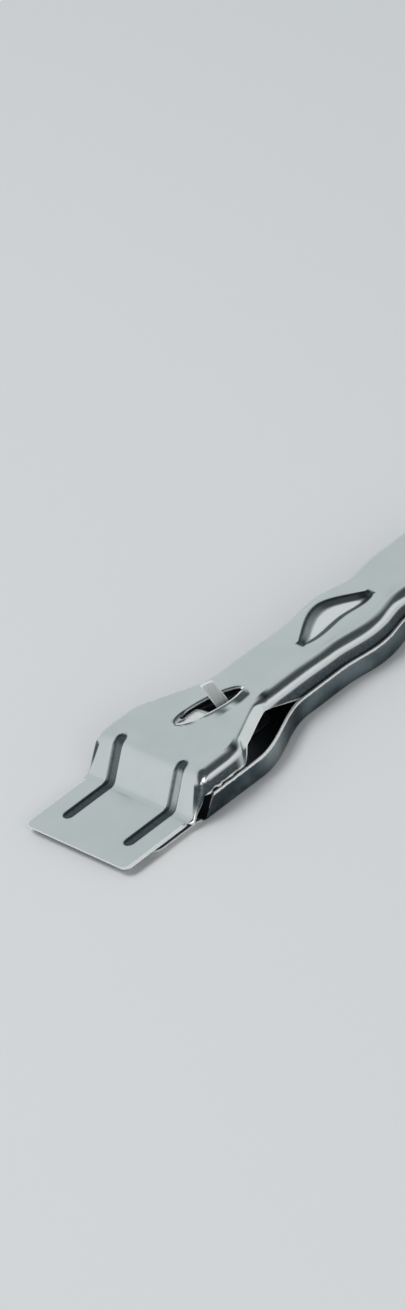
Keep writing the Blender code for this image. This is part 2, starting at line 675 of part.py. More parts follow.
def make_carriage(home, finish, rivets):
    """Flat slide that carries the blade in front and the lug and spring on its stem."""
    head, stem, corner = CARRIAGE_HEAD_HALF_WIDTH, CARRIAGE_STEM_HALF_WIDTH, CARRIAGE_REAR_CORNER
    head_end = CARRIAGE_FRONT + CARRIAGE_HEAD_LENGTH
    half = [(CARRIAGE_FRONT, head), (head_end, head)]
    for step in range(1, 9):
        share = step / 8
        half.append((head_end + CARRIAGE_NECK_LENGTH * share, mix(head, stem, smooth(share))))
    for step in range(BEND_STEPS + 1):
        turn = math.pi / 2 * step / BEND_STEPS
        half.append((CARRIAGE_REAR - corner * (1.0 - math.sin(turn)), stem - corner * (1.0 - math.cos(turn))))
    outline = [(along(place), across) for place, across in half]
    outline += [(first, -second) for first, second in reversed(outline)]
    holes = [circle((along(BLADE_STUD_SETBACK), side * BLADE_STUD_SPACING / 2),
                    BLADE_STUD_RADIUS + BLADE_HOLE_CLEARANCE, RIVET_SEGMENTS) for side in (-1, 1)]
    holes += [circle(middle, RIVET_SHANK_RADIUS + RIVET_CLEARANCE, RIVET_SEGMENTS) for middle in rivets]
    middle = CARRIAGE_BOTTOM + CARRIAGE_THICKNESS / 2
    return flat_plate("blade_carriage", [outline] + holes, CARRIAGE_THICKNESS, home, finish, (0.0, 0.0, middle))


def make_studs(home, finish):
    """Pins pressed into the carriage that the blade's holes drop over."""
    made = []
    for side, name in ((-1, "blade_stud_right"), (1, "blade_stud_left")):
        profile = [(0.0, BLADE_TOP), (BLADE_STUD_RADIUS, BLADE_TOP), (BLADE_STUD_RADIUS, CARRIAGE_BOTTOM),
                   (0.0, CARRIAGE_BOTTOM)]
        place = (along(BLADE_STUD_SETBACK), side * BLADE_STUD_SPACING / 2, 0.0)
        made.append(turned(name, profile, RIVET_SEGMENTS, home, finish, place, False))
    return made


def make_rivet(name, middle, plate_thickness, home, finish):
    """Rivet through the carriage and the piece that lies on it."""
    under = CARRIAGE_TOP + SEAT_GAP + plate_thickness + SEAT_GAP
    top = under + RIVET_HEAD_THICKNESS
    edge = RIVET_HEAD_THICKNESS / 3
    profile = [(0.0, top), (RIVET_HEAD_RADIUS - edge, top), (RIVET_HEAD_RADIUS, top - edge),
               (RIVET_HEAD_RADIUS, under), (RIVET_SHANK_RADIUS, under), (RIVET_SHANK_RADIUS, CARRIAGE_BOTTOM),
               (0.0, CARRIAGE_BOTTOM)]
    return turned(name, profile, RIVET_SEGMENTS, home, finish, (*middle, 0.0), False)


def lug_foot():
    """Plan place of the middle of the lug's upright where it leaves its foot."""
    slide = LUG_RAKE_SHARE * (DECK_HEIGHT - CARRIAGE_TOP - SEAT_GAP)
    return along(LUG_PLACE) + slide * math.cos(LUG_TURN), LUG_ACROSS + slide * math.sin(LUG_TURN)


def lug_rivet_middle():
    """Plan place of the lug's rivet, in its foot beside the upright."""
    reach = LUG_THICKNESS + (LUG_FOOT_LENGTH - LUG_THICKNESS) / 2
    first, second = lug_foot()
    return first - reach * math.sin(LUG_TURN), second + reach * math.cos(LUG_TURN)


def spring_rivet_middle():
    return along(SPRING_FOOT_PLACE) + SPRING_FOOT_LENGTH / 2, 0.0


def make_lug(home, finish, cutters):
    """Bent strip: a foot on the carriage and an upright that stands through the slot."""
    foot = CARRIAGE_TOP + SEAT_GAP
    height = DECK_HEIGHT + LUG_PROUD - foot
    outline = [(0.0, 0.0), (LUG_FOOT_LENGTH, 0.0), (LUG_FOOT_LENGTH, LUG_THICKNESS),
               (LUG_THICKNESS, LUG_THICKNESS), (LUG_THICKNESS, height - LUG_THICKNESS / 3),
               (LUG_THICKNESS * 2 / 3, height), (LUG_THICKNESS / 3, height), (0.0, height - LUG_THICKNESS / 3)]
    flat = flat_plate("lug_outline", [outline], LUG_WIDTH, home, finish, (*lug_foot(), foot))
    flat.rotation_euler = (math.radians(90.0), 0.0, LUG_TURN + math.radians(90.0))
    lug = meshed(flat, "thumb_lug", home)
    for vertex in lug.data.vertices:
        vertex.co.z -= LUG_RAKE_SHARE * vertex.co.y
    for cutter in cutters:
        cut_away(lug, cutter)
    return lug


def meshed(curve, name, home):
    """The curve object's solid as a mesh object with its caps joined, in place of the curve."""
    bpy.context.view_layer.update()
    graph = bpy.context.evaluated_depsgraph_get()
    data = bpy.data.meshes.new_from_object(curve.evaluated_get(graph))
    mesh = bmesh.new()
    mesh.from_mesh(data)
    bmesh.ops.remove_doubles(mesh, verts=mesh.verts, dist=MERGE_DISTANCE)
    mesh.to_mesh(data)
    mesh.free()
    made = bpy.data.objects.new(name, data)
    home.objects.link(made)
    made.matrix_world = curve.matrix_world
    bpy.data.objects.remove(curve)
    return made


def make_spring(home, finish, cutters):
    """Leaf spring: a foot on the carriage, an S-shaped rise, and a rounded crest under the slot."""
    foot = CARRIAGE_TOP + SEAT_GAP
    crest = DECK_UNDERSIDE - SLOT_RIM_DROP + SHEET - SPRING_CREST_CLEARANCE
    start, foot_end = SPRING_FOOT_PLACE, SPRING_FOOT_PLACE + SPRING_FOOT_LENGTH
    points = [(start, foot), (foot_end, foot)]
    for step in range(1, 9):
        share = step / 8
        points.append((mix(foot_end, SPRING_CREST_PLACE, share), mix(foot, crest, smooth(share))))
    for step in range(1, 6):
        share = step / 5
        points.append((mix(SPRING_CREST_PLACE, SPRING_REAR_PLACE, share),
                       crest - SPRING_CURL_DROP * (1.0 - math.cos(math.pi / 2 * share))))
    mesh = bmesh.new()
    pairs = [[mesh.verts.new((along(place), side * SPRING_HALF_WIDTH, height)) for side in (-1, 1)]
             for place, height in points]
    for near, far in zip(pairs, pairs[1:]):
        mesh.faces.new((near[0], far[0], far[1], near[1]))
    data = bpy.data.meshes.new("detent_spring")
    mesh.to_mesh(data)
    mesh.free()
    spring = new_object("detent_spring", data, home, finish)
    thick = spring.modifiers.new("Leaf thickness", "SOLIDIFY")
    thick.thickness = SPRING_THICKNESS
    thick.offset = 1.0
    thick.use_even_offset = True
    for cutter in cutters:
        cut_away(spring, cutter)
    return spring


def make_cutter(name, radius, reach, location, across, home):
    data = bpy.data.meshes.new(name)
    mesh = bmesh.new()
    bmesh.ops.create_cone(mesh, cap_ends=True, segments=PIN_SEGMENTS, radius1=radius, radius2=radius,
                          depth=reach)
    mesh.to_mesh(data)
    mesh.free()
    cutter = new_object(name, data, home, None)
    cutter.location = location
    if across:
        cutter.rotation_euler = (math.radians(90.0), 0.0, 0.0)
    cutter.hide_render = True
    cutter.display_type = "WIRE"
    return cutter


def main():
    for leftover in list(bpy.data.objects):
        bpy.data.objects.remove(leftover)
    home = collection("hand_scraper")
    cutters = collection("cutters")
    plated = (0.56, 0.60, 0.60)
    cover_finish = material("plated_cover", plated, 0.28, 1.0)
    channel_finish = material("plated_channel", (0.50, 0.54, 0.55), 0.22, 1.0)
    blade_finish = material("blade_steel", (0.55, 0.56, 0.57), 0.15, 1.0)
    slide_finish = material("slide_steel", (0.45, 0.47, 0.48), 0.35, 1.0)
    lug_finish = material("lug_steel", (0.62, 0.64, 0.65), 0.30, 1.0)
    spring_finish = material("spring_steel", (0.60, 0.62, 0.63), 0.20, 1.0)
    rivet_finish = material("rivet_steel", (0.52, 0.54, 0.55), 0.30, 1.0)

    hinge = make_cutter("hinge_hole", HINGE_PIN_RADIUS + HINGE_HOLE_CLEARANCE,
                        2 * (CHANNEL_HEAD_HALF_WIDTH + CUT_OVERRUN),
                        (along(HINGE_PLACE), 0.0, HINGE_HEIGHT), True, cutters)
    hole = RIVET_SHANK_RADIUS + RIVET_CLEARANCE
    lug_hole = make_cutter("lug_rivet_hole", hole, 2 * CUT_OVERRUN,
                           (*lug_rivet_middle(), CARRIAGE_TOP + LUG_THICKNESS), False, cutters)
    spring_hole = make_cutter("spring_rivet_hole", hole, 2 * CUT_OVERRUN,
                              (*spring_rivet_middle(), CARRIAGE_TOP + SPRING_THICKNESS), False, cutters)
    make_channel(home, channel_finish, [hinge])
    make_cover(home, cover_finish, [hinge])
    make_hinge(home, rivet_finish, slide_finish)
    make_blade(home, blade_finish)
    make_carriage(home, slide_finish, [lug_rivet_middle(), spring_rivet_middle()])
    make_studs(home, rivet_finish)
    make_lug(home, lug_finish, [lug_hole])
    make_spring(home, spring_finish, [spring_hole])
    make_rivet("lug_rivet", lug_rivet_middle(), LUG_THICKNESS, home, rivet_finish)
    make_rivet("spring_rivet", spring_rivet_middle(), SPRING_THICKNESS, home, rivet_finish)


main()
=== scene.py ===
"""Looks of a hand scraper of pressed, plated steel sheet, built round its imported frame.

X runs along the tool from the scraping edge to the grip, Y across it and Z up, in metres. Places along the tool
are measured from the front edge of the upper tongue.
"""
import json
import logging
import math
from collections.abc import Callable
from dataclasses import dataclass
from enum import Enum

import bmesh
import bpy
from mathutils import Matrix, Vector


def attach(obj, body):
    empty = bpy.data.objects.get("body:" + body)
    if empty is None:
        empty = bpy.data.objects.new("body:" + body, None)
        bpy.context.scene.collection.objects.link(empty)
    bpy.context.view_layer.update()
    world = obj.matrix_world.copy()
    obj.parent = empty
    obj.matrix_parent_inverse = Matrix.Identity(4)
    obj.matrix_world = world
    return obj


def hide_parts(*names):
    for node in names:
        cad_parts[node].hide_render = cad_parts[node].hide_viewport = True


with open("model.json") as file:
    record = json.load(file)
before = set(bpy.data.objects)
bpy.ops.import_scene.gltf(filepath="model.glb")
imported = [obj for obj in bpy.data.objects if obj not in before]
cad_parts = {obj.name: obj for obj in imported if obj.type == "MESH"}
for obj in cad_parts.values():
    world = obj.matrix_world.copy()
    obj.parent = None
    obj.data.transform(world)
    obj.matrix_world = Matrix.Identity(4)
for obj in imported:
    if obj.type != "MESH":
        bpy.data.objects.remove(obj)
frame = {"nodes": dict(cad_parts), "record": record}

LOG = logging.getLogger("hand_scraper")
MERGE = 1e-6
# A layer of scuffed plating along free edges that also paints bright edge highlights; the slot's rim and lip and
# the panel's floor use it for painted highlights too.
WEAR_AND_HIGHLIGHT = "edge_wear"
NEXT_WEAR_AND_HIGHLIGHT = 0.30
# A layer of painted shade and painted light: where it is high, the plated finish turns its base colour towards a
# painted colour, dark on the cover for painted shade and light on the channel's wall for a painted reflection.
PAINTED_SHADE_AND_LIGHT = "painted_shade_and_light"
FLAT = "on_flat"
SHEET_GROUP = "sheet"
NEARLY_UPRIGHT = math.radians(89.0)
CORNER_STEPS = 9
SOFT_SEGMENTS = 2
SOFT_ANGLE = math.radians(50.0)
OPAQUE = 1.0


class Body(Enum):
    """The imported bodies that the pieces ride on."""

    CHANNEL = "channel"
    COVER = "cover"
    SLIDER = "slider"


def smooth(share: float) -> float:
    """Smooth step from 0 to 1."""
    share = min(1.0, max(0.0, share))
    return share * share * (3.0 - 2.0 * share)


def ease(value: float, start: float, reach: float) -> float:
    """Smooth step from 0 at the start to 1 at one reach past it."""
    return smooth((value - start) / reach)


def mix(first: float, second: float, share: float) -> float:
    """A value between two others."""
    return first + (second - first) * share


def spread(first: float, last: float, step: float) -> list[float]:
    """Values from first up or down to last, about one step apart, both ends included."""
    count = max(1, round(abs(last - first) / step))
    return [mix(first, last, index / count) for index in range(count + 1)]


def quarter(steps: int) -> list[float]:
    """Angles over a quarter turn in equal steps, both ends included."""
    return spread(0.0, math.pi / 2, math.pi / 2 / steps)


@dataclass(frozen=True)
class Patch:
    """A smooth hump that is highest at its middle and ends at its reach on both sides."""

    middle: float
    reach: float
    height: float = 1.0

    def at(self, value: float) -> float:
        """Height of the hump at a value."""
        return self.height * smooth(1.0 - abs(value - self.middle) / self.reach)


@dataclass(frozen=True)
class Stretch:
    """A smooth rise from 0 to 1 at its start and a smooth fall back to 0 at its end."""

    start: float
    rise: float
    end: float
    fall: float

    def at(self, value: float) -> float:
        """Share from 0 to 1 at a value."""
        return ease(value, self.start, self.rise) * (1.0 - ease(value, self.end, self.fall))


@dataclass(frozen=True)
class Plan:
    """Plan and heights that the two pressings share. Places run from the tongue's front edge."""

    length: float = 0.149
    sheet: float = 0.0006
    tongue_length: float = 0.0245
    tongue_half: float = 0.0210
    tongue_top: float = 0.00275
    ramp_run: float = 0.0068
    foot_radius: float = 0.0022
    foot_rows: int = 8
    face_rows: int = 9
    crest_radius: float = 0.0050
    crest_rows: int = 14
    deck: float = 0.0132
    head_half: float = 0.0183
    grip_half: float = 0.0082
    shoulder_start: float = 0.0410
    shoulder_length: float = 0.0260
    cover_bend: float = 0.0035
    channel_head_half: float = 0.0220
    channel_lag: float = 0.0090
    nest: float = 0.0045
    swell: Patch = Patch(0.1035, 0.0130, 0.0016)
    waist: Patch = Patch(0.1165, 0.0095, 0.0009)
    tail_start: float = 0.1180
    tail_length: float = 0.0080
    tail_widening: float = 0.0004
    hinge: float = 0.1385
    hinge_height: float = 0.0040
    hinge_hole: float = 0.0015
    hinge_hole_reach: float = 0.05

    @property
    def ramp_top(self) -> float:
        """Place where the ramp would meet the deck without its round crest."""
        return self.tongue_length + self.ramp_run

    @property
    def slope(self) -> float:
        """Steepness of the ramp."""
        return math.atan2(self.deck - self.tongue_top, self.ramp_run)

    @property
    def crest(self) -> float:
        """How far the round crest runs onto the deck."""
        return self.crest_radius * math.tan(self.slope / 2)

    def world(self, place: float) -> float:
        """World X of a place."""
        return place - self.length / 2

    def grip_flat(self, place: float) -> float:
        """Half width of the flat of the grip."""
        return (self.grip_half + self.swell.at(place) - self.waist.at(place)
                + self.tail_widening * ease(place, self.tail_start, self.tail_length))

    def deck_flat(self, place: float) -> float:
        """Half width of the cover's flat, from the tongue to the grip.

        Args:
            place: where along the tool.

        Returns:
            The half width, in metres.
        """
        if place < self.tongue_length:
            return self.tongue_half
        if place < self.ramp_top:
            return mix(self.tongue_half, self.head_half, (place - self.tongue_length) / self.ramp_run)
        return mix(self.head_half, self.grip_flat(place), ease(place, self.shoulder_start, self.shoulder_length))

    def channel_outer(self, place: float) -> float:
        """Outer half width of the channel."""
        return mix(self.channel_head_half, self.grip_flat(place) + self.nest,
                   ease(place, self.shoulder_start + self.channel_lag, self.shoulder_length))

    def ramp(self) -> list[tuple[float, float]]:
        """The profile over the ramp.

        Returns:
            Place and height of each row, from the foot's bend to the crest's end.
        """
        start, end = self.tongue_length - self.foot_radius * math.tan(self.slope / 2), self.ramp_top + self.crest
        foot = [(start + self.foot_radius * math.sin(turn),
                 self.tongue_top + self.foot_radius * (1.0 - math.cos(turn)))
                for turn in spread(0.0, self.slope, self.slope / self.foot_rows)]
        crest = [(end - self.crest_radius * math.sin(turn), self.deck - self.crest_radius * (1.0 - math.cos(turn)))
                 for turn in spread(self.slope, 0.0, self.slope / self.crest_rows)]
        face = [(mix(foot[-1][0], crest[0][0], share), mix(foot[-1][1], crest[0][1], share))
                for share in spread(0.0, 1.0, 1 / self.face_rows)[1:-1]]
        return foot + face + crest

    def hinge_bore(self) -> "Bore":
        """The hole for the hinge's rivet."""
        middle = (self.world(self.hinge), 0.0, self.hinge_height)
        return Bore(middle, self.hinge_hole, self.hinge_hole_reach, True)


PLAN = Plan()


@dataclass(frozen=True)
class Row:
    """A line of points from the middle of a pressing out to the edge of its flat, then round its bend.

    A row's place is that of its inner end, edge is the plan point at the flat's edge, outward the way in plan that
    the bend goes, and fall how far the skirt or wall runs past the bend.
    """

    place: float
    height: float
    edge: tuple[float, float]
    outward: tuple[float, float] = (0.0, 1.0)
    radius: float = 0.0
    angle: float = math.pi / 2
    fall: float = 0.0
    lean: float = 0.0
    ripple: float = 0.0


def outward_at(half: Callable[[float], float], place: float) -> tuple[float, float]:
    """Way out in plan from an edge.

    Args:
        half: half width as a function of the place.
        place: where on the edge.

    Returns:
        A unit vector in plan.
    """
    small = PLAN.sheet / 2
    slope = (half(place + small) - half(place - small)) / (2 * small)
    size = math.hypot(slope, 1.0)
    return -slope / size, 1.0 / size


def front_corner(front: float, half: float, radius: float, height: float) -> list[Row]:
    """Rows of a tongue's rounded front corner.

    Args:
        front: place of the tongue's front edge.
        half: half width of the tongue.
        radius: the corner's radius.
        height: height of the tongue.

    Returns:
        The rows, from the front edge back.
    """
    rows = []
    for turn in quarter(CORNER_STEPS):
        place = front + radius * (1.0 - math.cos(turn))
        rows.append(Row(place, height, (place, half - radius * (1.0 - math.sin(turn)))))
    return rows


def rear_end(corner: float, radius: float, half: float, height: float, steps: int, step: float,
             side: Callable[[float], dict[str, float]]) -> list[Row]:
    """Rows that fan out from one place round the rear corner and on to the middle of the rear end.

    Args:
        corner: place where the corner starts, and of all the inner ends.
        radius: the corner's radius.
        half: half width of the flat at the corner.
        height: height of the flat.
        steps: number of steps round the corner.
        step: distance between the rows along the rear end.
        side: gives the bend and the skirt or wall at a place.

    Returns:
        The rows, from the side round to the middle.
    """
    edges = [((corner + radius * math.sin(turn), half - radius * (1.0 - math.cos(turn))),
              (math.sin(turn), math.cos(turn))) for turn in quarter(steps)]
    edges += [((corner + radius, across), (1.0, 0.0)) for across in spread(half - radius, 0.0, step)[1:]]
    return [Row(corner, height, edge, outward, **side(edge[0])) for edge, outward in edges]


@dataclass(frozen=True)
class Sheet:
    """A pressing: half of a grid laid along rows, then mirrored, pressed, thickened and given soft edges.

    Stations gives a row's shares of the way from its inner end to its flat's edge, 0 and 1 among them. Parts says
    how many columns lie between neighbouring stations, bend how many go round the bend, and skirt how many go on
    down the skirt or up the wall.
    """

    name: str
    rows: list[Row]
    stations: Callable[[Row], list[float]]
    parts: tuple[int, ...]
    bend: int
    skirt: int
    downward: bool

    @property
    def flat(self) -> int:
        """Number of columns on the flat."""
        return sum(self.parts)

    def across(self, row: Row) -> list[float]:
        """Shares of the way to the flat's edge of every column on the flat.

        Args:
            row: the row.

        Returns:
            The shares, from 0 to 1.
        """
        stations = self.stations(row)
        values = [stations[0]]
        for first, second, count in zip(stations, stations[1:], self.parts):
            values += [mix(first, second, step / count) for step in range(1, count + 1)]
        return values

    def line(self, row: Row) -> list[Vector]:
        """The points of one row.

        Args:
            row: the row.

        Returns:
            Its points from the middle to the free edge, in world metres.
        """
        inner = Vector((PLAN.world(row.place), 0.0, row.height))
        edge = Vector((PLAN.world(row.edge[0]), row.edge[1], row.height))
        points = [inner.lerp(edge, share) for share in self.across(row)]
        out = Vector((*row.outward, 0.0))
        down = Vector((0.0, 0.0, -1.0 if self.downward else 1.0))
        for step in range(1, self.bend + 1):
            turn = row.angle * step / self.bend
            points.append(edge + out * row.radius * math.sin(turn) + down * row.radius * (1.0 - math.cos(turn)))
        foot = points[-1]
        spill = row.fall / math.tan(row.angle) if row.angle < NEARLY_UPRIGHT else 0.0
        for step in range(1, self.skirt + 1):
            share = step / self.skirt
            points.append(foot + out * (spill * share + row.ripple * share * share) + down * row.fall * share
                          + Vector((row.lean * share, 0.0, 0.0)))
        return points

    def mesh(self, opened: Callable[[int, int], bool]) -> bmesh.types.BMesh:
        """Lays the grid along the rows and mirrors it.

        Args:
            opened: says whether the face at a row and column is left open.

        Returns:
            The whole sheet without thickness, its faces pointing out.
        """
        columns = self.flat + self.bend + self.skirt
        mesh = bmesh.new()
        bmesh.ops.create_grid(mesh, x_segments=len(self.rows) - 1, y_segments=columns, size=1.0)
        wear_and_highlight = mesh.verts.layers.float.new(WEAR_AND_HIGHLIGHT)
        flat = mesh.verts.layers.float.new(FLAT)
        steps = (len(self.rows) - 1) / 2
        gone = [face for face in mesh.faces
                if opened(math.floor((face.calc_center_median().x + 1.0) * steps),
                          math.floor((face.calc_center_median().y + 1.0) * columns / 2))]
        bmesh.ops.delete(mesh, geom=gone, context="FACES")
        lines = [self.line(row) for row in self.rows]
        for vertex in mesh.verts:
            row, column = round((vertex.co.x + 1.0) * steps), round((vertex.co.y + 1.0) * columns / 2)
            # Scuffing with painted edge highlight on the free edges, the bare tongue edges and the front row.
            bare = self.rows[row].radius + self.rows[row].fall < MERGE and column >= self.flat
            edge = column == columns or bare or row == 0
            vertex[wear_and_highlight] = 1.0 if edge else NEXT_WEAR_AND_HIGHLIGHT * float(column == columns - 1)
            vertex[flat] = float(column <= self.flat)
            vertex.co = lines[row][column]
        bmesh.ops.remove_doubles(mesh, verts=mesh.verts, dist=MERGE)
        bmesh.ops.mirror(mesh, geom=mesh.verts[:] + mesh.edges[:] + mesh.faces[:], axis="Y", merge_dist=MERGE)
        bmesh.ops.remove_doubles(mesh, verts=mesh.verts, dist=MERGE)
        bmesh.ops.recalc_face_normals(mesh, faces=mesh.faces)
        rise = sum(face.normal.z * face.calc_area() for face in mesh.faces)
        if (rise > 0.0) != self.downward:
            bmesh.ops.reverse_faces(mesh, faces=mesh.faces)
        return mesh


class Signal:
    """A number that varies over a surface: an output socket with arithmetic on it."""

    def __init__(self, bench: "Bench", socket: bpy.types.NodeSocket) -> None:
        """Wraps a socket of the bench's node tree."""
        self.bench = bench
        self.socket = socket

    def _math(self, operation: str, first: "Signal | float", second: "Signal | float") -> "Signal":
        """One Math node on two values.

        Args:
            operation: the Math node's operation.
            first: its first value.
            second: its second value.

        Returns:
            The result as a signal.
        """
        return self.bench.signal("ShaderNodeMath", {"operation": operation}, {0: first, 1: second})

    def __add__(self, other: "Signal | float") -> "Signal":
        """self + other."""
        return self._math("ADD", self, other)

    def __radd__(self, other: float) -> "Signal":
        """other + self."""
        return self._math("ADD", other, self)

    def __sub__(self, other: "Signal | float") -> "Signal":
        """self - other."""
        return self._math("SUBTRACT", self, other)

    def __rsub__(self, other: float) -> "Signal":
        """other - self."""
        return self._math("SUBTRACT", other, self)

    def __mul__(self, other: "Signal | float") -> "Signal":
        """self * other."""
        return self._math("MULTIPLY", self, other)

    def __rmul__(self, other: float) -> "Signal":
        """other * self."""
        return self._math("MULTIPLY", other, self)


class Bench:
    """Adds nodes to one node tree."""

    def __init__(self, tree: bpy.types.NodeTree) -> None:
        """Clears the tree, ready for new nodes."""
        self.tree = tree
        tree.nodes.clear()

    def node(self, kind: str, settings: dict, values: dict) -> bpy.types.Node:
        """Adds one node.

        Args:
            kind: the node's type.
            settings: its properties, set before its sockets.
            values: what goes into its sockets, by name or number: a number, a colour, a socket or a signal.

        Returns:
            The node.
        """
        made = self.tree.nodes.new(kind)
        for name, value in settings.items():
            setattr(made, name, value)
        for name, value in values.items():
            socket = made.inputs[name]
            if isinstance(value, Signal):
                value = value.socket
            if isinstance(value, bpy.types.NodeSocket):
                self.tree.links.new(value, socket)
            else:
                socket.default_value = value
        return made

    def signal(self, kind: str, settings: dict, values: dict, output: str | int = 0) -> Signal:
        """Adds one node and wraps one of its outputs.

        Args:
            kind: the node's type.
            settings: its properties.
            values: what goes into its sockets.
            output: the name or number of the output.

        Returns:
            The output as a signal.
        """
        return Signal(self, self.node(kind, settings, values).outputs[output])

    def noise(self, place: bpy.types.NodeSocket, scale: float, detail: float = 2.0,
              roughness: float = 0.5) -> Signal:
        """Cloudy noise.

        Args:
            place: the position socket.
            scale: how many clouds there are to the metre.
            detail: how many finer layers it has.
            roughness: how strong the finer layers are.

        Returns:
            The noise, about 0 to 1.
        """
        return self.signal("ShaderNodeTexNoise", {},
                           {"Vector": place, "Scale": scale, "Detail": detail, "Roughness": roughness})

    def layer(self, name: str) -> Signal:
        """A number that the mesh holds at its points."""
        return self.signal("ShaderNodeAttribute", {"attribute_name": name}, {}, "Fac")

    def between(self, value: Signal, low: float, high: float) -> Signal:
        """A smooth step of the value from 0 at low to 1 at high.

        Args:
            value: the signal to read.
            low: where the step starts.
            high: where it ends.

        Returns:
            The step as a signal.
        """
        return self.signal("ShaderNodeMapRange", {"interpolation_type": "SMOOTHSTEP"},
                           {"Value": value, "From Min": low, "From Max": high})

    def blend(self, factor: Signal | float, first: object, second: object) -> bpy.types.NodeSocket:
        """Mixes two colours.

        Args:
            factor: share of the second colour.
            first: a colour or a colour socket.
            second: a colour or a colour socket.

        Returns:
            The mixed colour's socket.
        """
        return self.node("ShaderNodeMix", {"data_type": "RGBA"}, {0: factor, 6: first, 7: second}).outputs[2]

    def surface(self, values: dict) -> None:
        """Ends a material's tree with one shader that takes these values."""
        shader = self.node("ShaderNodeBsdfPrincipled", {}, values)
        self.node("ShaderNodeOutputMaterial", {}, {"Surface": shader.outputs[0]})


def blank_finish(name: str) -> tuple[bpy.types.Material, Bench]:
    """A new material and the bench for its nodes.

    Args:
        name: the material's name.

    Returns:
        The material and its bench.
    """
    finish = bpy.data.materials.new(name)
    finish.use_nodes = True
    return finish, Bench(finish.node_tree)


@dataclass(frozen=True)
class PlatedSteel:
    """Plated sheet steel: faint rolling lines, soft cloudy patches, hairline scratches, scuffed edges that also
    carry painted edge highlights, and painted shade and painted light from a layer of the mesh.

    Bands are the two values of a noise or layer between which a mark fades in, and each share says how strongly
    one mark counts in the colour, the roughness, the metal or the height.
    """

    name: str
    colour: tuple[float, float, float]
    shade: tuple[float, float, float]
    worn_and_highlight: tuple[float, float, float] = (0.90, 0.92, 0.92)
    # Colour that the painted shade-and-light layer turns to: dark painted shade here, a light painted reflection
    # on the channel.
    painted_colour: tuple[float, float, float] = (0.065, 0.085, 0.095)
    metallic: float = 1.0
    lines_upright: bool = False
    line_tone: float = 0.0
    roughness: float = 0.20
    cloud_size: float = 0.014
    cloud_detail: float = 3.0
    cloud_grain: float = 0.55
    cloud_band: tuple[float, float] = (0.35, 0.68)
    cloud_share: float = 0.5
    cloud_rough_share: float = 0.10
    line_pitch: float = 0.00035
    line_length: float = 0.030
    line_share: float = 0.35
    line_rough_share: float = 0.25
    scratch_turns: tuple[float, ...] = (0.35, -0.9, 1.9)
    scratch_band: tuple[float, float] = (0.70, 0.76)
    scratch_share: float = 0.5
    scratch_rough_share: float = 0.12
    speck_height_share: float = 0.25
    rubbed_and_highlight_band: tuple[float, float] = (0.22, 0.48)
    rubbed_and_highlight_speck_share: float = 0.4
    rubbed_and_highlight_rough_share: float = 0.05
    rubbed_and_highlight_metal_share: float = 0.4
    painted_share: float = 0.97
    painted_speck_share: float = 0.2
    painted_rough_share: float = 0.20
    bump_strength: float = 0.35
    bump_height: float = 0.000006

    def _streaks(self, bench: Bench, place: bpy.types.NodeSocket, turn: float, length: float,
                 upright: bool = False) -> Signal:
        """Noise drawn out along one direction in the plane.

        Args:
            bench: the node tree.
            place: the position socket.
            turn: angle of the streaks from X, in radians.
            length: how long a streak is.
            upright: whether the streaks stand up instead.

        Returns:
            The noise, about 0 to 1.
        """
        pitch = self.line_pitch
        scale = (pitch, pitch, length) if upright else (length, pitch, pitch)
        turned = bench.node("ShaderNodeMapping", {"vector_type": "TEXTURE"},
                            {"Vector": place, "Rotation": (0.0, 0.0, turn), "Scale": scale})
        return bench.noise(turned.outputs[0], 1.0)

    def make(self) -> bpy.types.Material:
        """Builds the material.

        Returns:
            The new material.
        """
        finish, bench = blank_finish(self.name)
        place = bench.node("ShaderNodeTexCoord", {}, {}).outputs["Object"]
        clouds = bench.noise(place, 1.0 / self.cloud_size, self.cloud_detail, self.cloud_grain)
        lines = self._streaks(bench, place, 0.0, self.line_length, self.lines_upright)
        specks = bench.noise(place, 1.0 / (self.line_pitch * 2))
        scratch = None
        for turn in self.scratch_turns:
            mask = bench.between(self._streaks(bench, place, turn, self.line_length / 3), *self.scratch_band)
            scratch = mask if scratch is None else scratch + mask
        # Scuffed edges with painted edge highlights: the layer turns the base colour bright and less metallic, so
        # that the edges show lit.
        wear_and_highlight = bench.layer(WEAR_AND_HIGHLIGHT)
        rubbed_and_highlight = bench.between(wear_and_highlight + (specks - 0.5) * self.rubbed_and_highlight_speck_share, *self.rubbed_and_highlight_band)
        tone = bench.between(clouds, *self.cloud_band) * self.cloud_share + (lines - 0.5) * self.line_tone
        base = bench.blend(tone, (*self.colour, OPAQUE), (*self.shade, OPAQUE))
        # Painted shade and painted light: the layer turns the base colour towards the painted colour, broken up by
        # specks.
        painted_mask = bench.layer(PAINTED_SHADE_AND_LIGHT)
        painted_amount = painted_mask * (self.painted_share + (specks - 0.5) * self.painted_speck_share)
        base = bench.blend(painted_amount, base, (*self.painted_colour, OPAQUE))
        base = bench.blend(rubbed_and_highlight, base, (*self.worn_and_highlight, OPAQUE))
        rough = (self.roughness + (clouds - 0.5) * self.cloud_rough_share
                 + (lines - 0.5) * (self.line_share * self.line_rough_share)
                 + scratch * (self.scratch_share * self.scratch_rough_share)
                 + painted_mask * self.painted_rough_share - rubbed_and_highlight * self.rubbed_and_highlight_rough_share)
        height = lines * self.line_share + specks * self.speck_height_share - scratch * self.scratch_share
        bump = bench.node("ShaderNodeBump", {}, {"Strength": self.bump_strength, "Distance": self.bump_height,
                                                 "Height": height})
        bench.surface({"Base Color": base, "Metallic": (1.0 - rubbed_and_highlight * self.rubbed_and_highlight_metal_share) * self.metallic,
                       "Roughness": rough, "Normal": bump.outputs[0]})
        return finish


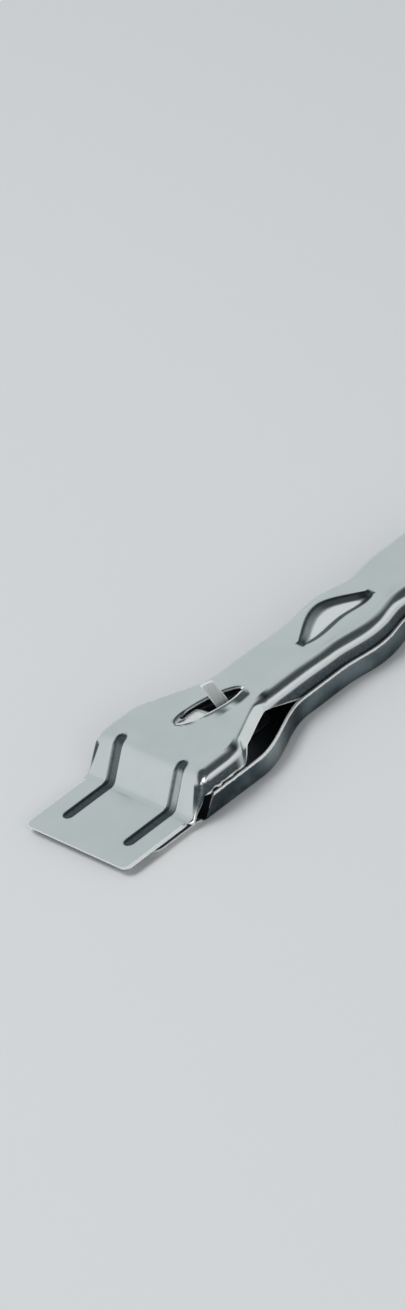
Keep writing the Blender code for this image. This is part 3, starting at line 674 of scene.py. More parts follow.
@dataclass(frozen=True)
class MattPaper:
    """Plain pale studio paper for the floor."""

    name: str = "studio_paper"
    colour: tuple[float, float, float] = (0.80, 0.81, 0.82)
    roughness: float = 0.9
    gloss: float = 0.1

    def make(self) -> bpy.types.Material:
        """Builds the material.

        Returns:
            The new material.
        """
        finish, bench = blank_finish(self.name)
        bench.surface({"Base Color": (*self.colour, OPAQUE), "Roughness": self.roughness,
                       "Specular IOR Level": self.gloss})
        return finish


COVER_STEEL = PlatedSteel("cover_plate", (0.80, 0.84, 0.84), (0.72, 0.77, 0.77))
# Painted shade: the channel's plating takes a near-black colour that stands in for the dark reflections on its
# wall, and its painted colour is a light painted reflection.
CHANNEL_PAINTED_SHADE_STEEL = PlatedSteel("channel_plate_painted_shade", (0.050, 0.068, 0.078), (0.20, 0.245, 0.26), painted_colour=(0.42, 0.47, 0.48),
                            roughness=0.24, cloud_share=0.9)
# Painted shade: a dark finish for the inner sides of the pressings, where shade falls.
INSIDE_PAINTED_SHADE_STEEL = PlatedSteel("inside_painted_shade", (0.10, 0.11, 0.12), (0.06, 0.07, 0.08), worn_and_highlight=(0.2, 0.21, 0.22),
                           roughness=0.45)
BLADE_STEEL = PlatedSteel("ground_blade", (0.70, 0.71, 0.72), (0.60, 0.61, 0.62), roughness=0.18)
SLIDE_STEEL = PlatedSteel("slide_plate", (0.60, 0.63, 0.64), (0.48, 0.51, 0.52), roughness=0.32)
LUG_STEEL = PlatedSteel("lug_plate", (0.66, 0.69, 0.69), (0.48, 0.51, 0.51), roughness=0.36, metallic=0.15,
                        line_share=1.0, line_length=0.02, lines_upright=True, line_tone=3.0)
SPRING_STEEL = PlatedSteel("spring_leaf", (0.88, 0.90, 0.90), (0.76, 0.78, 0.78), roughness=0.24, metallic=0.2)
RIVET_STEEL = PlatedSteel("rivet_head", (0.66, 0.68, 0.69), (0.50, 0.52, 0.53), roughness=0.26)


def put(name: str, data: bpy.types.ID) -> bpy.types.Object:
    """Makes an object of its data and adds it to the scene.

    Args:
        name: the object's name.
        data: its mesh, lamp or camera data.

    Returns:
        The object.
    """
    made = bpy.data.objects.new(name, data)
    bpy.context.scene.collection.objects.link(made)
    return made


def put_mesh(name: str, mesh: bmesh.types.BMesh) -> bpy.types.Object:
    """Makes an object of a mesh, which is used up, and adds it to the scene.

    Args:
        name: the object's name.
        mesh: the mesh.

    Returns:
        The object.
    """
    data = bpy.data.meshes.new(name)
    mesh.to_mesh(data)
    mesh.free()
    return put(name, data)


@dataclass(frozen=True)
class Bore:
    """A round hole through a piece."""

    middle: tuple[float, float, float]
    radius: float
    reach: float
    across: bool = False
    facets: int = 40

    def tool(self) -> bpy.types.Object:
        """The round bar that cuts the hole.

        Returns:
            The bar, as an object in the scene.
        """
        mesh = bmesh.new()
        bmesh.ops.create_cone(mesh, cap_ends=True, segments=self.facets, radius1=self.radius, radius2=self.radius,
                              depth=self.reach)
        if self.across:
            bmesh.ops.rotate(mesh, verts=mesh.verts, matrix=Matrix.Rotation(math.pi / 2, 3, "X"))
        bmesh.ops.translate(mesh, verts=mesh.verts, vec=self.middle)
        return put_mesh("bar", mesh)


class Workshop:
    """Turns meshes into finished pieces that ride on a body."""

    def __init__(self, finishes: dict[str, bpy.types.Material]) -> None:
        """Keeps the finishes by the record's slot names."""
        self.finishes = finishes
        # The dark finish of painted shade for the pressings' inner sides.
        self.inside = INSIDE_PAINTED_SHADE_STEEL.make()

    def piece(self, name: str, mesh: bmesh.types.BMesh, body: Body, slot: str, nodes: list[str],
              thick: float = 0.0, offset: float = -1.0, soften: float = 0.0, bores: list[Bore] | None = None,
              inside: bool = False) -> None:
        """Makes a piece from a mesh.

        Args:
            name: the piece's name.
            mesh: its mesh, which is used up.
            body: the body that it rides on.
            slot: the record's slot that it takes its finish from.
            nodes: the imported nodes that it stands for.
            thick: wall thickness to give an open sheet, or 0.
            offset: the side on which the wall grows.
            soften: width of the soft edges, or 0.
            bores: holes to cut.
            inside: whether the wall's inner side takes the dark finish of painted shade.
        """
        made = put_mesh(name, mesh)
        data = made.data
        data.materials.append(self.finishes[slot])
        if inside:
            data.materials.append(self.inside)
        group = made.vertex_groups.new(name=SHEET_GROUP)
        if thick:
            wall = made.modifiers.new("wall", "SOLIDIFY")
            wall.thickness, wall.offset = thick, offset
            wall.material_offset = 1 if inside else 0
            wall.vertex_group = group.name if data.vertices and data.vertices[0].groups else ""
        if bores:
            self._bore(made, bores)
        if soften:
            edge = made.modifiers.new("soft edges", "BEVEL")
            edge.width, edge.segments = soften, SOFT_SEGMENTS
            edge.limit_method, edge.angle_limit = "ANGLE", SOFT_ANGLE
            edge.use_clamp_overlap = True
        made.data.shade_smooth()
        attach(made, body.value)
        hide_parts(*nodes)
        LOG.info("%s: %d faces", name, len(made.data.polygons))

    def _bore(self, made: bpy.types.Object, bores: list[Bore]) -> None:
        """Cuts holes into a piece and keeps the result as its mesh.

        Args:
            made: the piece.
            bores: the holes to cut.
        """
        bars = [bore.tool() for bore in bores]
        for bar in bars:
            cut = made.modifiers.new("hole", "BOOLEAN")
            cut.operation, cut.object, cut.solver = "DIFFERENCE", bar, "EXACT"
        graph = bpy.context.evaluated_depsgraph_get()
        data = bpy.data.meshes.new_from_object(made.evaluated_get(graph))
        data.name = made.name
        made.modifiers.clear()
        made.data = data
        for bar in bars:
            bpy.data.objects.remove(bar)


@dataclass(frozen=True)
class Marks:
    """Layers of a sheet's points: their painted shade and light, their scuffing and painted highlight, how thick
    they are, and whether they lie on the flat.
    """

    painted_shade_and_light: bmesh.types.BMLayerItem
    wear_and_highlight: bmesh.types.BMLayerItem
    flat: bmesh.types.BMLayerItem
    weights: bmesh.types.BMLayerItem


@dataclass(frozen=True)
class PressedGrooves:
    """Two grooves with round ends that run from the tongue up the ramp and onto the deck."""

    across: float = 0.0124
    front: float = 0.0092
    rear: float = 0.0322
    half: float = 0.0019
    wall: float = 0.0008
    tongue_depth: float = 0.00045
    ramp_depth: float = 0.00075
    ramp_lead: float = 0.0010
    ramp_blend: float = 0.0030
    thinning_share: float = 0.5
    end_start: float = 0.0298
    end_blend: float = 0.0020
    end_shallow_share: float = 0.76
    floor_start: float = 0.0005
    floor_blend: float = 0.0006
    floor_end: float = 0.0022
    floor_end_blend: float = 0.0015
    floor_painted_light_shares: tuple[float, float] = (0.15, 0.65)
    painted_shade_fade: float = 0.0002

    def press(self, vertex: bmesh.types.BMVert, place: float, marks: Marks) -> bool:
        """Presses one point in and gives it painted shade, where it lies in a groove; on the ramp the groove
        floors take some painted light, more on the near side (Y below 0).

        Args:
            vertex: the point.
            place: where it lies along the tool.
            marks: the sheet's layers.

        Returns:
            Whether it lies in a groove.
        """
        along = min(max(place, self.front), self.rear)
        inside = self.half - math.hypot(place - along, abs(vertex.co.y) - self.across)
        if inside <= 0.0:
            return False
        depth = smooth(inside / self.wall)
        ramp = ease(place, PLAN.tongue_length - self.ramp_lead, self.ramp_blend)
        shallow = 1.0 - self.end_shallow_share * ease(place, self.end_start, self.end_blend)
        # Painted light: less painted shade on the ramp's groove floors, more so on the near side (Y below 0).
        light = self.floor_painted_light_shares[0] if vertex.co.y > 0.0 else self.floor_painted_light_shares[1]
        light *= ease(inside, self.floor_start, self.floor_blend)
        light *= 1.0 - ease(place, self.rear - self.floor_end, self.floor_end_blend)
        vertex.co -= vertex.normal * depth * shallow * mix(self.tongue_depth, self.ramp_depth, ramp)
        vertex[marks.weights][0] = 1.0 - self.thinning_share * depth * (1.0 - ramp)
        # Painted shade fills the groove.
        vertex[marks.painted_shade_and_light] = smooth(inside / self.painted_shade_fade) * (1.0 - light * ramp)
        return True


@dataclass(frozen=True)
class ThumbSlot:
    """Eye-shaped slot set askew, with a rolled rim, a lip in its front tip and a dished near side, given painted
    shade round the rim and painted highlights on the lip and the hole's edge.

    Shares across the rim run from 0 at the deck to 1 at the hole.
    """

    front: float = 0.0444
    length: float = 0.0205
    half: float = 0.0035
    blunt: float = 0.0004
    shift: float = 0.00075
    skew: float = -0.22
    rim: float = 0.0011
    rim_drop: float = 0.0008
    rim_worn_and_highlight: tuple[float, float] = (0.8, 0.2)
    hole_front: float = 0.0477
    hole_skew: float = -0.28
    hole_skew_reach: float = 0.0015
    lip_lead: float = 0.0004
    lip_blend: float = 0.0020
    lip_side_share: float = 0.55
    lip_roll: tuple[float, float] = (0.375, 0.625)
    lip_far_painted_shade_line: Patch = Patch(0.65, 0.35)
    lip_near_painted_shade_line: Patch = Patch(0.24, 0.34)
    lip_near_end: float = 0.0462
    lip_near_fade: float = 0.0016
    lip_painted_highlight: float = 0.72
    lip_painted_highlight_band: tuple[float, float] = (0.4, 0.2)
    far_blend: float = 0.0020
    far_shallow_share: float = 0.6
    far_painted_shade_line: Patch = Patch(0.6, 0.4, 0.6)
    dish: Stretch = Stretch(0.0488, 0.0020, 0.0635, 0.0020)
    dish_rim: float = 0.0024
    dish_extra: float = 0.0010
    dish_shallow_share: float = 0.45
    dish_painted_shade: Patch = Patch(0.0545, 0.0026, 0.8)
    dish_painted_shade_start: float = 0.0575
    dish_painted_shade_band: Stretch = Stretch(0.0, 0.2, 0.80, 0.15)
    near_painted_shade_line: Patch = Patch(0.74, 0.16, 0.95)

    @property
    def end(self) -> float:
        """Place of the slot's rear end."""
        return self.front + self.length

    def half_at(self, place: float) -> float:
        """Half width of the slot."""
        share = (place - self.front) / self.length * 2.0 - 1.0
        return max(self.blunt, self.half * math.sqrt(max(0.0, 1.0 - share * share)))

    def line(self, place: float) -> float:
        """How far across the tool the slot's middle line lies."""
        return self.shift + self.skew * (place - self.front - self.length / 2)

    def distance(self, place: float, across: float) -> float:
        """How far a point lies outside the slot's outline, about.

        Args:
            place: where along the tool.
            across: how far across it.

        Returns:
            The distance in metres, below 0 inside the outline.
        """
        long = self.length / 2
        along = place - self.front - long
        size = math.hypot(along / long, across / self.half)
        pull = math.hypot(along / long ** 2, across / self.half ** 2)
        return (size - 1.0) * size / pull if pull else -self.half

    def press(self, vertex: bmesh.types.BMVert, place: float, marks: Marks) -> float:
        """Rolls the rim at one point and gives it painted shade and painted highlights, where it lies on the rim.

        Args:
            vertex: the point.
            place: where it lies along the tool.
            marks: the sheet's layers.

        Returns:
            How far the point drops.
        """
        across = vertex.co.y
        dish = self.dish.at(place) * float(across < 0.0)
        out = self.distance(place, across)
        rim = 1.0 - max(0.0, out) / (self.rim + self.dish_rim * dish)
        if rim <= 0.0 or abs(place - self.front - self.length / 2) >= self.length / 2 + self.rim:
            return 0.0
        lip = 1.0 - ease(place, self.hole_front + self.lip_lead, self.lip_blend)
        far_side = smooth((across / self.half_at(place) + 1.0) * self.lip_side_share)
        behind = ease(place, self.hole_front, self.far_blend) * float(across > 0.0)
        # Painted shade: dark bands in the near side's dish, along the near and far rims, in the lip and round the
        # front tip.
        shade = max(self.dish_painted_shade.at(place), ease(place, self.dish_painted_shade_start, self.dish_painted_shade.reach))
        tip = (1.0 - far_side) * (1.0 - ease(place, self.lip_near_end, self.lip_near_fade))
        vertex[marks.painted_shade_and_light] = max(dish * shade * self.dish_painted_shade_band.at(rim), dish * self.near_painted_shade_line.at(rim),
                                   self.far_painted_shade_line.at(rim) * float(across > 0.0) * (1.0 - behind),
                                   lip * far_side * self.lip_far_painted_shade_line.at(rim), tip * self.lip_near_painted_shade_line.at(rim))
        # Painted highlight on the lip's near side, and scuffing with a painted highlight at the hole's edge.
        painted_highlight = self.lip_painted_highlight * lip * (1.0 - far_side) * ease(rim, *self.lip_painted_highlight_band)
        vertex[marks.wear_and_highlight] = max(ease(rim, *self.rim_worn_and_highlight) * (1.0 - lip), painted_highlight)
        vertex.co.y += dish * rim * self.dish_extra
        if out <= MERGE and place <= self.hole_front + MERGE:
            pull = 1.0 - smooth((self.hole_front - place) / self.hole_skew_reach)
            vertex.co.x += self.hole_skew * across * pull
        rolled = mix(1.0 - math.cos(math.pi / 2 * rim), ease(rim, *self.lip_roll) * far_side, lip)
        return (self.rim_drop * rolled * (1.0 - self.dish_shallow_share * dish)
                * (1.0 - self.far_shallow_share * behind))


@dataclass(frozen=True)
class ThumbPanel:
    """Sunk, leaf-shaped panel whose two ends lie to one side of the tool's middle line, with painted shade on its
    walls and ends and a painted highlight on its floor.

    Shares inward run from 0 at the panel's edge to 1 at the foot of its wall.
    """

    front: float = 0.0860
    length: float = 0.0285
    half: float = 0.0061
    depth: float = 0.0012
    band: float = 0.0044
    far_wall: float = 0.0038
    near_wall: float = 0.0034
    tip: float = 0.0160
    bulge: float = 0.65
    blunt: float = 0.0018
    end_shift: float = -0.0020
    peak_shift: float = 0.0021
    fade: float = 0.0080
    end_wall: float = 0.0022
    end_shade: float = 0.0036
    wall_painted_light: tuple[float, float] = (0.25, 0.25)
    wall_painted_light_share: float = 0.50
    wall_painted_shade: Stretch = Stretch(0.0, 0.15, 0.80, 0.20)
    painted_highlight: float = 0.72
    painted_highlight_band: tuple[float, float] = (0.95, 0.10)

    @property
    def end(self) -> float:
        """Place of the panel's rear end."""
        return self.front + self.length

    def share(self, place: float) -> float:
        """How far a place is from the panel's nearer end to its widest part, from 0 to 1.

        Args:
            place: where along the tool.

        Returns:
            The share.
        """
        front = (place - self.front) / self.tip
        rear = (self.end - place) / (self.length - self.tip)
        return min(1.0, max(0.0, min(front, rear)))

    def half_at(self, place: float) -> float:
        """Half width of the panel at the deck."""
        return max(self.blunt, self.half * math.sin(math.pi / 2 * self.share(place)) ** self.bulge)

    def line(self, place: float) -> float:
        """How far across the tool the panel's middle line lies."""
        return mix(self.end_shift, self.peak_shift, smooth(self.share(place)))

    def press(self, vertex: bmesh.types.BMVert, place: float, outer: float, marks: Marks) -> float:
        """Sinks one point and gives it painted shade on the walls and ends and a painted highlight on the floor,
        where it lies in the panel.

        Args:
            vertex: the point.
            place: where it lies along the tool.
            outer: half width of the panel there.
            marks: the sheet's layers.

        Returns:
            How far the point drops.
        """
        across = vertex.co.y
        if not self.front <= place <= self.end or abs(across) >= outer:
            return 0.0
        end = min(place - self.front, self.end - place)
        inward = (outer - abs(across)) / min(self.near_wall if across < 0.0 else self.far_wall, outer)
        # Painted light: the far wall (Y above 0) takes less painted shade than the near wall.
        light = ease(inward, *self.wall_painted_light) * float(across > 0.0)
        wall = mix(1.0, self.wall_painted_light_share, light)
        wall *= 1.0 - ease(inward, self.wall_painted_shade.end, self.wall_painted_shade.fall)
        tip = 1.0 - ease(end, self.end_wall, self.end_shade)
        edge = ease(inward, self.wall_painted_shade.start, self.wall_painted_shade.rise)
        vertex[marks.painted_shade_and_light] = max(wall, tip) * edge * smooth(end / PLAN.sheet)
        # Painted highlight on the panel's floor.
        vertex[marks.wear_and_highlight] = self.painted_highlight * ease(inward, *self.painted_highlight_band) * (1.0 - tip)
        return self.depth * smooth(inward) * smooth(end / self.end_wall)


@dataclass(frozen=True)
class CoverSide:
    """The cover's bend and skirt: rolled at the tongue, crumpled at the head and raised at the side window."""

    roll_start: float = 0.0225
    roll_lip: float = 0.0006
    roll_bend_share: float = 0.25
    window_start: float = 0.0444
    window_length: float = 0.0156
    window_blend: float = 0.0045
    window_fall: float = 0.0220
    window_bend_share: float = 0.45
    window_angle: float = math.radians(55.0)
    head: float = 0.0067
    grip: float = 0.0045
    rear: float = 0.0064
    raised: float = 0.010175
    ear: float = 0.0024
    crumple: Stretch = Stretch(0.0285, 0.0020, 0.0420, 0.0030)
    crumple_rise: float = 0.00022
    crumple_wave: float = 1900.0
    crumple_sway: float = 1.2
    crumple_sway_wave: float = 700.0
    ripple: float = 0.00030
    ripple_wave: float = 1500.0
    ripple_phase: float = 0.8
    sag: Stretch = Stretch(0.078, 0.012, 0.118, 0.012)
    sag_depth: float = 0.0004
    painted_shade_shares: tuple[float, float] = (0.66, 0.90)
    painted_shade_change: float = 0.0060
    painted_shade_lead: float = 0.0030
    painted_shade_blend: float = 0.0004
    lights: tuple[Patch, ...] = (Patch(0.0452, 0.0026, 0.75), Patch(0.0650, 0.0035, 0.5))
    fold_painted_shades: tuple[Patch, ...] = (Patch(0.0450, 0.0034), Patch(0.0655, 0.0034))
    fold_painted_shade_depth: float = 0.0016
    worn_and_highlight: Stretch = Stretch(0.0285, 0.0020, 0.0440, 0.0030)
    worn_and_highlight_share: float = 0.8

    def sag_at(self, place: float) -> float:
        """How far the flat's edge lies below its middle beside the panel."""
        return self.sag_depth * self.sag.at(place)

    def at(self, place: float, height: float) -> dict[str, float]:
        """Bend and skirt at a place along the side.

        Args:
            place: where along the tool.
            height: height of the flat there.

        Returns:
            The row's radius, angle, fall and ripple.
        """
        grow = ease(place, self.roll_start, PLAN.tongue_length - self.roll_start)
        window_end = self.window_start + self.window_length
        opened = ease(place, self.window_start, self.window_blend)
        window = opened * (1.0 - ease(place, window_end, self.window_blend))
        raised = opened * (1.0 - ease(place, window_end, self.window_fall))
        bend_share = mix(self.roll_bend_share, 1.0, ease(place, PLAN.tongue_length, PLAN.ramp_run))
        radius = PLAN.cover_bend * bend_share * grow * mix(1.0, self.window_bend_share, window)
        angle = mix(math.pi / 2, self.window_angle, window)
        if place < PLAN.ramp_top + PLAN.crest:
            edge = min(height - radius - self.roll_lip * grow, self.head)
        else:
            edge = self.head if place < window_end - self.window_length / 2 else self.grip
            ear = abs(place - PLAN.hinge)
            if ear < self.ear:
                edge = min(PLAN.hinge_height - math.sqrt(self.ear ** 2 - ear ** 2), edge)
            elif place > PLAN.hinge:
                edge = mix(edge, self.rear, ease(ear, self.ear, self.ear))
            edge = mix(edge, self.raised, raised)
        crumple = self.crumple.at(place)
        sway = self.crumple_sway * math.sin(place * self.crumple_sway_wave)
        edge += crumple * self.crumple_rise * (1.0 + math.sin(place * self.crumple_wave + sway))
        ripple = -crumple * self.ripple * (1.0 + math.sin(place * self.ripple_wave + self.ripple_phase))
        fall = max(0.0, height - radius * (1.0 - math.cos(angle)) - edge)
        return {"radius": radius, "angle": angle, "fall": fall, "ripple": ripple}

    def tone(self, vertex: bmesh.types.BMVert, place: float, marks: Marks) -> None:
        """Gives one point of the bend or skirt painted shade, with two lighter painted patches and painted shade
        at two creases, scuffs the crumpled edge with a painted highlight, and lets the side sag beside the panel.

        Args:
            vertex: the point.
            place: where it lies along the tool.
            marks: the sheet's layers.
        """
        # Painted shade: the lower part of the bend and the skirt go dark past the tongue, less so at two painted
        # light patches.
        share = mix(*self.painted_shade_shares, ease(place, self.window_start, self.painted_shade_change))
        dark = smooth((PLAN.deck - PLAN.cover_bend * share - vertex.co.z) / self.painted_shade_blend)
        lit = max(patch.at(place) for patch in self.lights)
        dark *= ease(place, PLAN.tongue_length, self.painted_shade_lead) * (1.0 - lit)
        # Painted shade at two creases, high on the bend, on the near side (Y below 0) only.
        fold = max(patch.at(place) for patch in self.fold_painted_shades) * float(vertex.co.y < 0.0)
        fold *= ease(vertex.co.z, PLAN.deck - self.fold_painted_shade_depth, self.fold_painted_shade_depth / 2)
        vertex[marks.painted_shade_and_light] = max(dark, fold)
        # Scuffing with a painted highlight along the crumpled edge of the head.
        edge = float(vertex[marks.wear_and_highlight] > NEXT_WEAR_AND_HIGHLIGHT / 2)
        vertex[marks.wear_and_highlight] = max(vertex[marks.wear_and_highlight], self.worn_and_highlight_share * self.worn_and_highlight.at(place) * edge)
        vertex.co.z -= self.sag_at(place) * vertex.co.z / PLAN.deck


@dataclass(frozen=True)
class TopCover:
    """Upper pressing: tongue, grooved ramp, deck with an eye-shaped slot, and grip with a sunk panel."""

    grooves: PressedGrooves = PressedGrooves()
    slot: ThumbSlot = ThumbSlot()
    panel: ThumbPanel = ThumbPanel()
    side: CoverSide = CoverSide()
    tongue_corner: float = 0.0025
    corner: float = 0.1395
    corner_radius: float = 0.0030
    corner_rows: int = 12
    opening_share: float = 0.25
    closing: float = 0.0060
    slot_lead: float = 0.0014
    panel_lead: float = 0.0030
    slot_rows: int = 40
    finest_step: float = 0.0002
    fine_step: float = 0.00025
    close_step: float = 0.0003
    even_step: float = 0.0007
    end_step: float = 0.0008
    wide_step: float = 0.0010
    widest_step: float = 0.0012
    least_gap: float = 0.00008
    columns: tuple[int, ...] = (6, 12, 7, 14, 5)
    bend_columns: int = 10
    skirt_columns: int = 6
    soft_edge: float = 0.00012

    def shift(self, place: float) -> float:
        """How far across the tool the middle line of the slot and the panel lies.

        Args:
            place: where along the tool.

        Returns:
            The shift across, in metres.
        """
        slot, panel, start = self.slot, self.panel, PLAN.ramp_top + PLAN.crest
        if place < slot.front:
            return slot.line(slot.front) * ease(place, start, slot.front - start)
        if place <= slot.end:
            return slot.line(place)
        if place < panel.front:
            return mix(slot.line(slot.end), panel.line(panel.front), ease(place, slot.end, panel.front - slot.end))
        if place <= panel.end:
            return panel.line(place)
        return panel.line(panel.end) * (1.0 - ease(place, panel.end, panel.fade))

    def borders(self, place: float, half: float) -> tuple[float, float]:
        """Distances from the middle line of the slot's edge and rim, or of the panel's floor and edge.

        Args:
            place: where along the tool.
            half: half width of the flat there.

        Returns:
            The inner and the outer distance.
        """
        slot, panel, tip = self.slot, self.panel, self.panel.blunt / 2
        if slot.front <= place <= slot.end:
            return slot.half_at(place), slot.half_at(place) + slot.rim
        if panel.front <= place <= panel.end:
            edge = panel.half_at(place)
            return max(edge - panel.band, edge / 2), edge
        if place < slot.front:
            inner, band = slot.blunt + (slot.front - place) * self.opening_share, slot.rim
        elif place < panel.front:
            inner = min(slot.blunt + (place - slot.end) * self.opening_share,
                        tip + (panel.front - place) * self.opening_share)
            band = mix(slot.rim, tip, smooth(1.0 - (panel.front - place) / self.closing))
        else:
            inner, band = tip + (place - panel.end) * self.opening_share, tip
        inner = min(inner, half * self.opening_share)
        return inner, inner + band

    def stations(self, row: Row) -> list[float]:
        """Shares of the way across the flat at which its bands of columns meet.

        Args:
            row: the row.

        Returns:
            The six shares, from 0 to 1.
        """
        half = row.edge[1] if row.place < self.corner else PLAN.deck_flat(self.corner)
        inner, outer = self.borders(row.place, half)
        narrow = ease(row.place, PLAN.shoulder_start, PLAN.shoulder_length)
        reach = self.grooves.half + self.grooves.wall / 4
        first = mix(self.grooves.across - reach, mix(outer, half, 1 / 3), narrow)
        second = mix(self.grooves.across + reach, mix(outer, half, 2 / 3), narrow)
        return [0.0, inner / half, outer / half, first / half, second / half, 1.0]

    def places(self) -> list[float]:
        """Places of the rows on the deck, close together where the form turns quickly.

        Returns:
            The places between the crest's end and the rear corner.
        """
        slot, panel = self.slot, self.panel
        lead, past = slot.front - self.slot_lead, slot.end + self.slot_lead
        sunk, rising = panel.front + self.panel_lead, panel.end - self.panel_lead
        ear = PLAN.hinge - self.side.ear
        wanted = [slot.front + slot.length * (1.0 - math.cos(math.pi * step / self.slot_rows)) / 2
                  for step in range(self.slot_rows + 1)]
        for first, last, step in ((PLAN.ramp_top + PLAN.crest, lead, self.even_step),
                                  (lead, slot.front, self.finest_step),
                                  (slot.front, slot.hole_front, self.close_step),
                                  (slot.end, past, self.finest_step),
                                  (past, panel.front, self.wide_step),
                                  (panel.front, sunk, self.close_step),
                                  (sunk, rising, self.end_step),
                                  (rising, panel.end, self.close_step),
                                  (panel.end, ear, self.wide_step),
                                  (ear, self.corner, self.close_step)):
            wanted += spread(first, last, step)
        kept: list[float] = []
        for place in sorted(wanted):
            if not kept or place - kept[-1] > self.least_gap:
                kept.append(place)
        return kept[1:-1]

    def rows(self) -> list[Row]:
        """All rows, from the tongue's front edge round to the middle of the rear end.

        Returns:
            The rows.
        """
        rows = front_corner(0.0, PLAN.tongue_half, self.tongue_corner, PLAN.tongue_top)
        ramp = PLAN.ramp()
        front, end = self.grooves.front - self.grooves.half, self.grooves.front + self.grooves.half / 2
        roll = self.side.roll_start
        tongue = (spread(self.tongue_corner, front, self.wide_step)[1:] + spread(front, end, self.fine_step)[1:]
                  + spread(end, roll, self.widest_step)[1:] + spread(roll, ramp[0][0], self.fine_step)[1:-1])
        profile = [(place, PLAN.tongue_top) for place in tongue] + ramp
        profile += [(place, PLAN.deck) for place in self.places()]
        for place, height in profile:
            outward = outward_at(PLAN.deck_flat, max(place, PLAN.ramp_top + PLAN.sheet))
            rows.append(Row(place, height, (place, PLAN.deck_flat(place)), outward, **self.side.at(place, height)))
        return rows + rear_end(self.corner, self.corner_radius, PLAN.deck_flat(self.corner), PLAN.deck,
                               self.corner_rows, self.end_step, lambda place: self.side.at(place, PLAN.deck))

    def press(self, mesh: bmesh.types.BMesh) -> None:
        """Presses the grooves, the slot's rim and the panel in, sets slot and panel askew, and lays painted shade,
        painted light and painted highlights on them and on the bend and skirt.

        Args:
            mesh: the whole sheet, not yet thickened.
        """
        layers = mesh.verts.layers
        painted_shade_and_light = layers.float.new(PAINTED_SHADE_AND_LIGHT)
        marks = Marks(painted_shade_and_light, layers.float[WEAR_AND_HIGHLIGHT], layers.float[FLAT], layers.deform.verify())
        mesh.normal_update()
        for vertex in mesh.verts:
            vertex[marks.weights][0] = 1.0
            place, across = vertex.co.x + PLAN.length / 2, vertex.co.y
            if vertex[marks.flat] < 0.5:
                self.side.tone(vertex, place, marks)
                continue
            if self.grooves.press(vertex, place, marks) or place < PLAN.ramp_top:
                continue
            half = PLAN.deck_flat(place)
            outer = self.borders(place, half)[1]
            drop = self.slot.press(vertex, place, marks) + self.panel.press(vertex, place, outer, marks)
            past = (abs(across) - outer) / (half - outer)
            drop += self.side.sag_at(place) * max(0.0, past) ** 2
            vertex.co.y += self.shift(place) * min(1.0, max(0.0, 1.0 - past))
            vertex.co.z -= drop
        mesh.verts.layers.float.remove(marks.flat)

    def build(self, shop: Workshop) -> None:
        """Builds the cover.

        Args:
            shop: the workshop that finishes the piece.
        """
        rows = self.rows()
        sheet = Sheet("cover_shell", rows, self.stations, self.columns, self.bend_columns, self.skirt_columns,
                      True)

        def opened(row: int, column: int) -> bool:
            """Whether a face lies in the slot."""
            middle = (rows[row].place + rows[row + 1].place) / 2
            return column < self.columns[0] and self.slot.hole_front < middle < self.slot.end

        mesh = sheet.mesh(opened)
        self.press(mesh)
        shop.piece(sheet.name, mesh, Body.COVER, "plated_cover", ["top_cover"], PLAN.sheet, -1.0, self.soft_edge,
                   [PLAN.hinge_bore()], True)


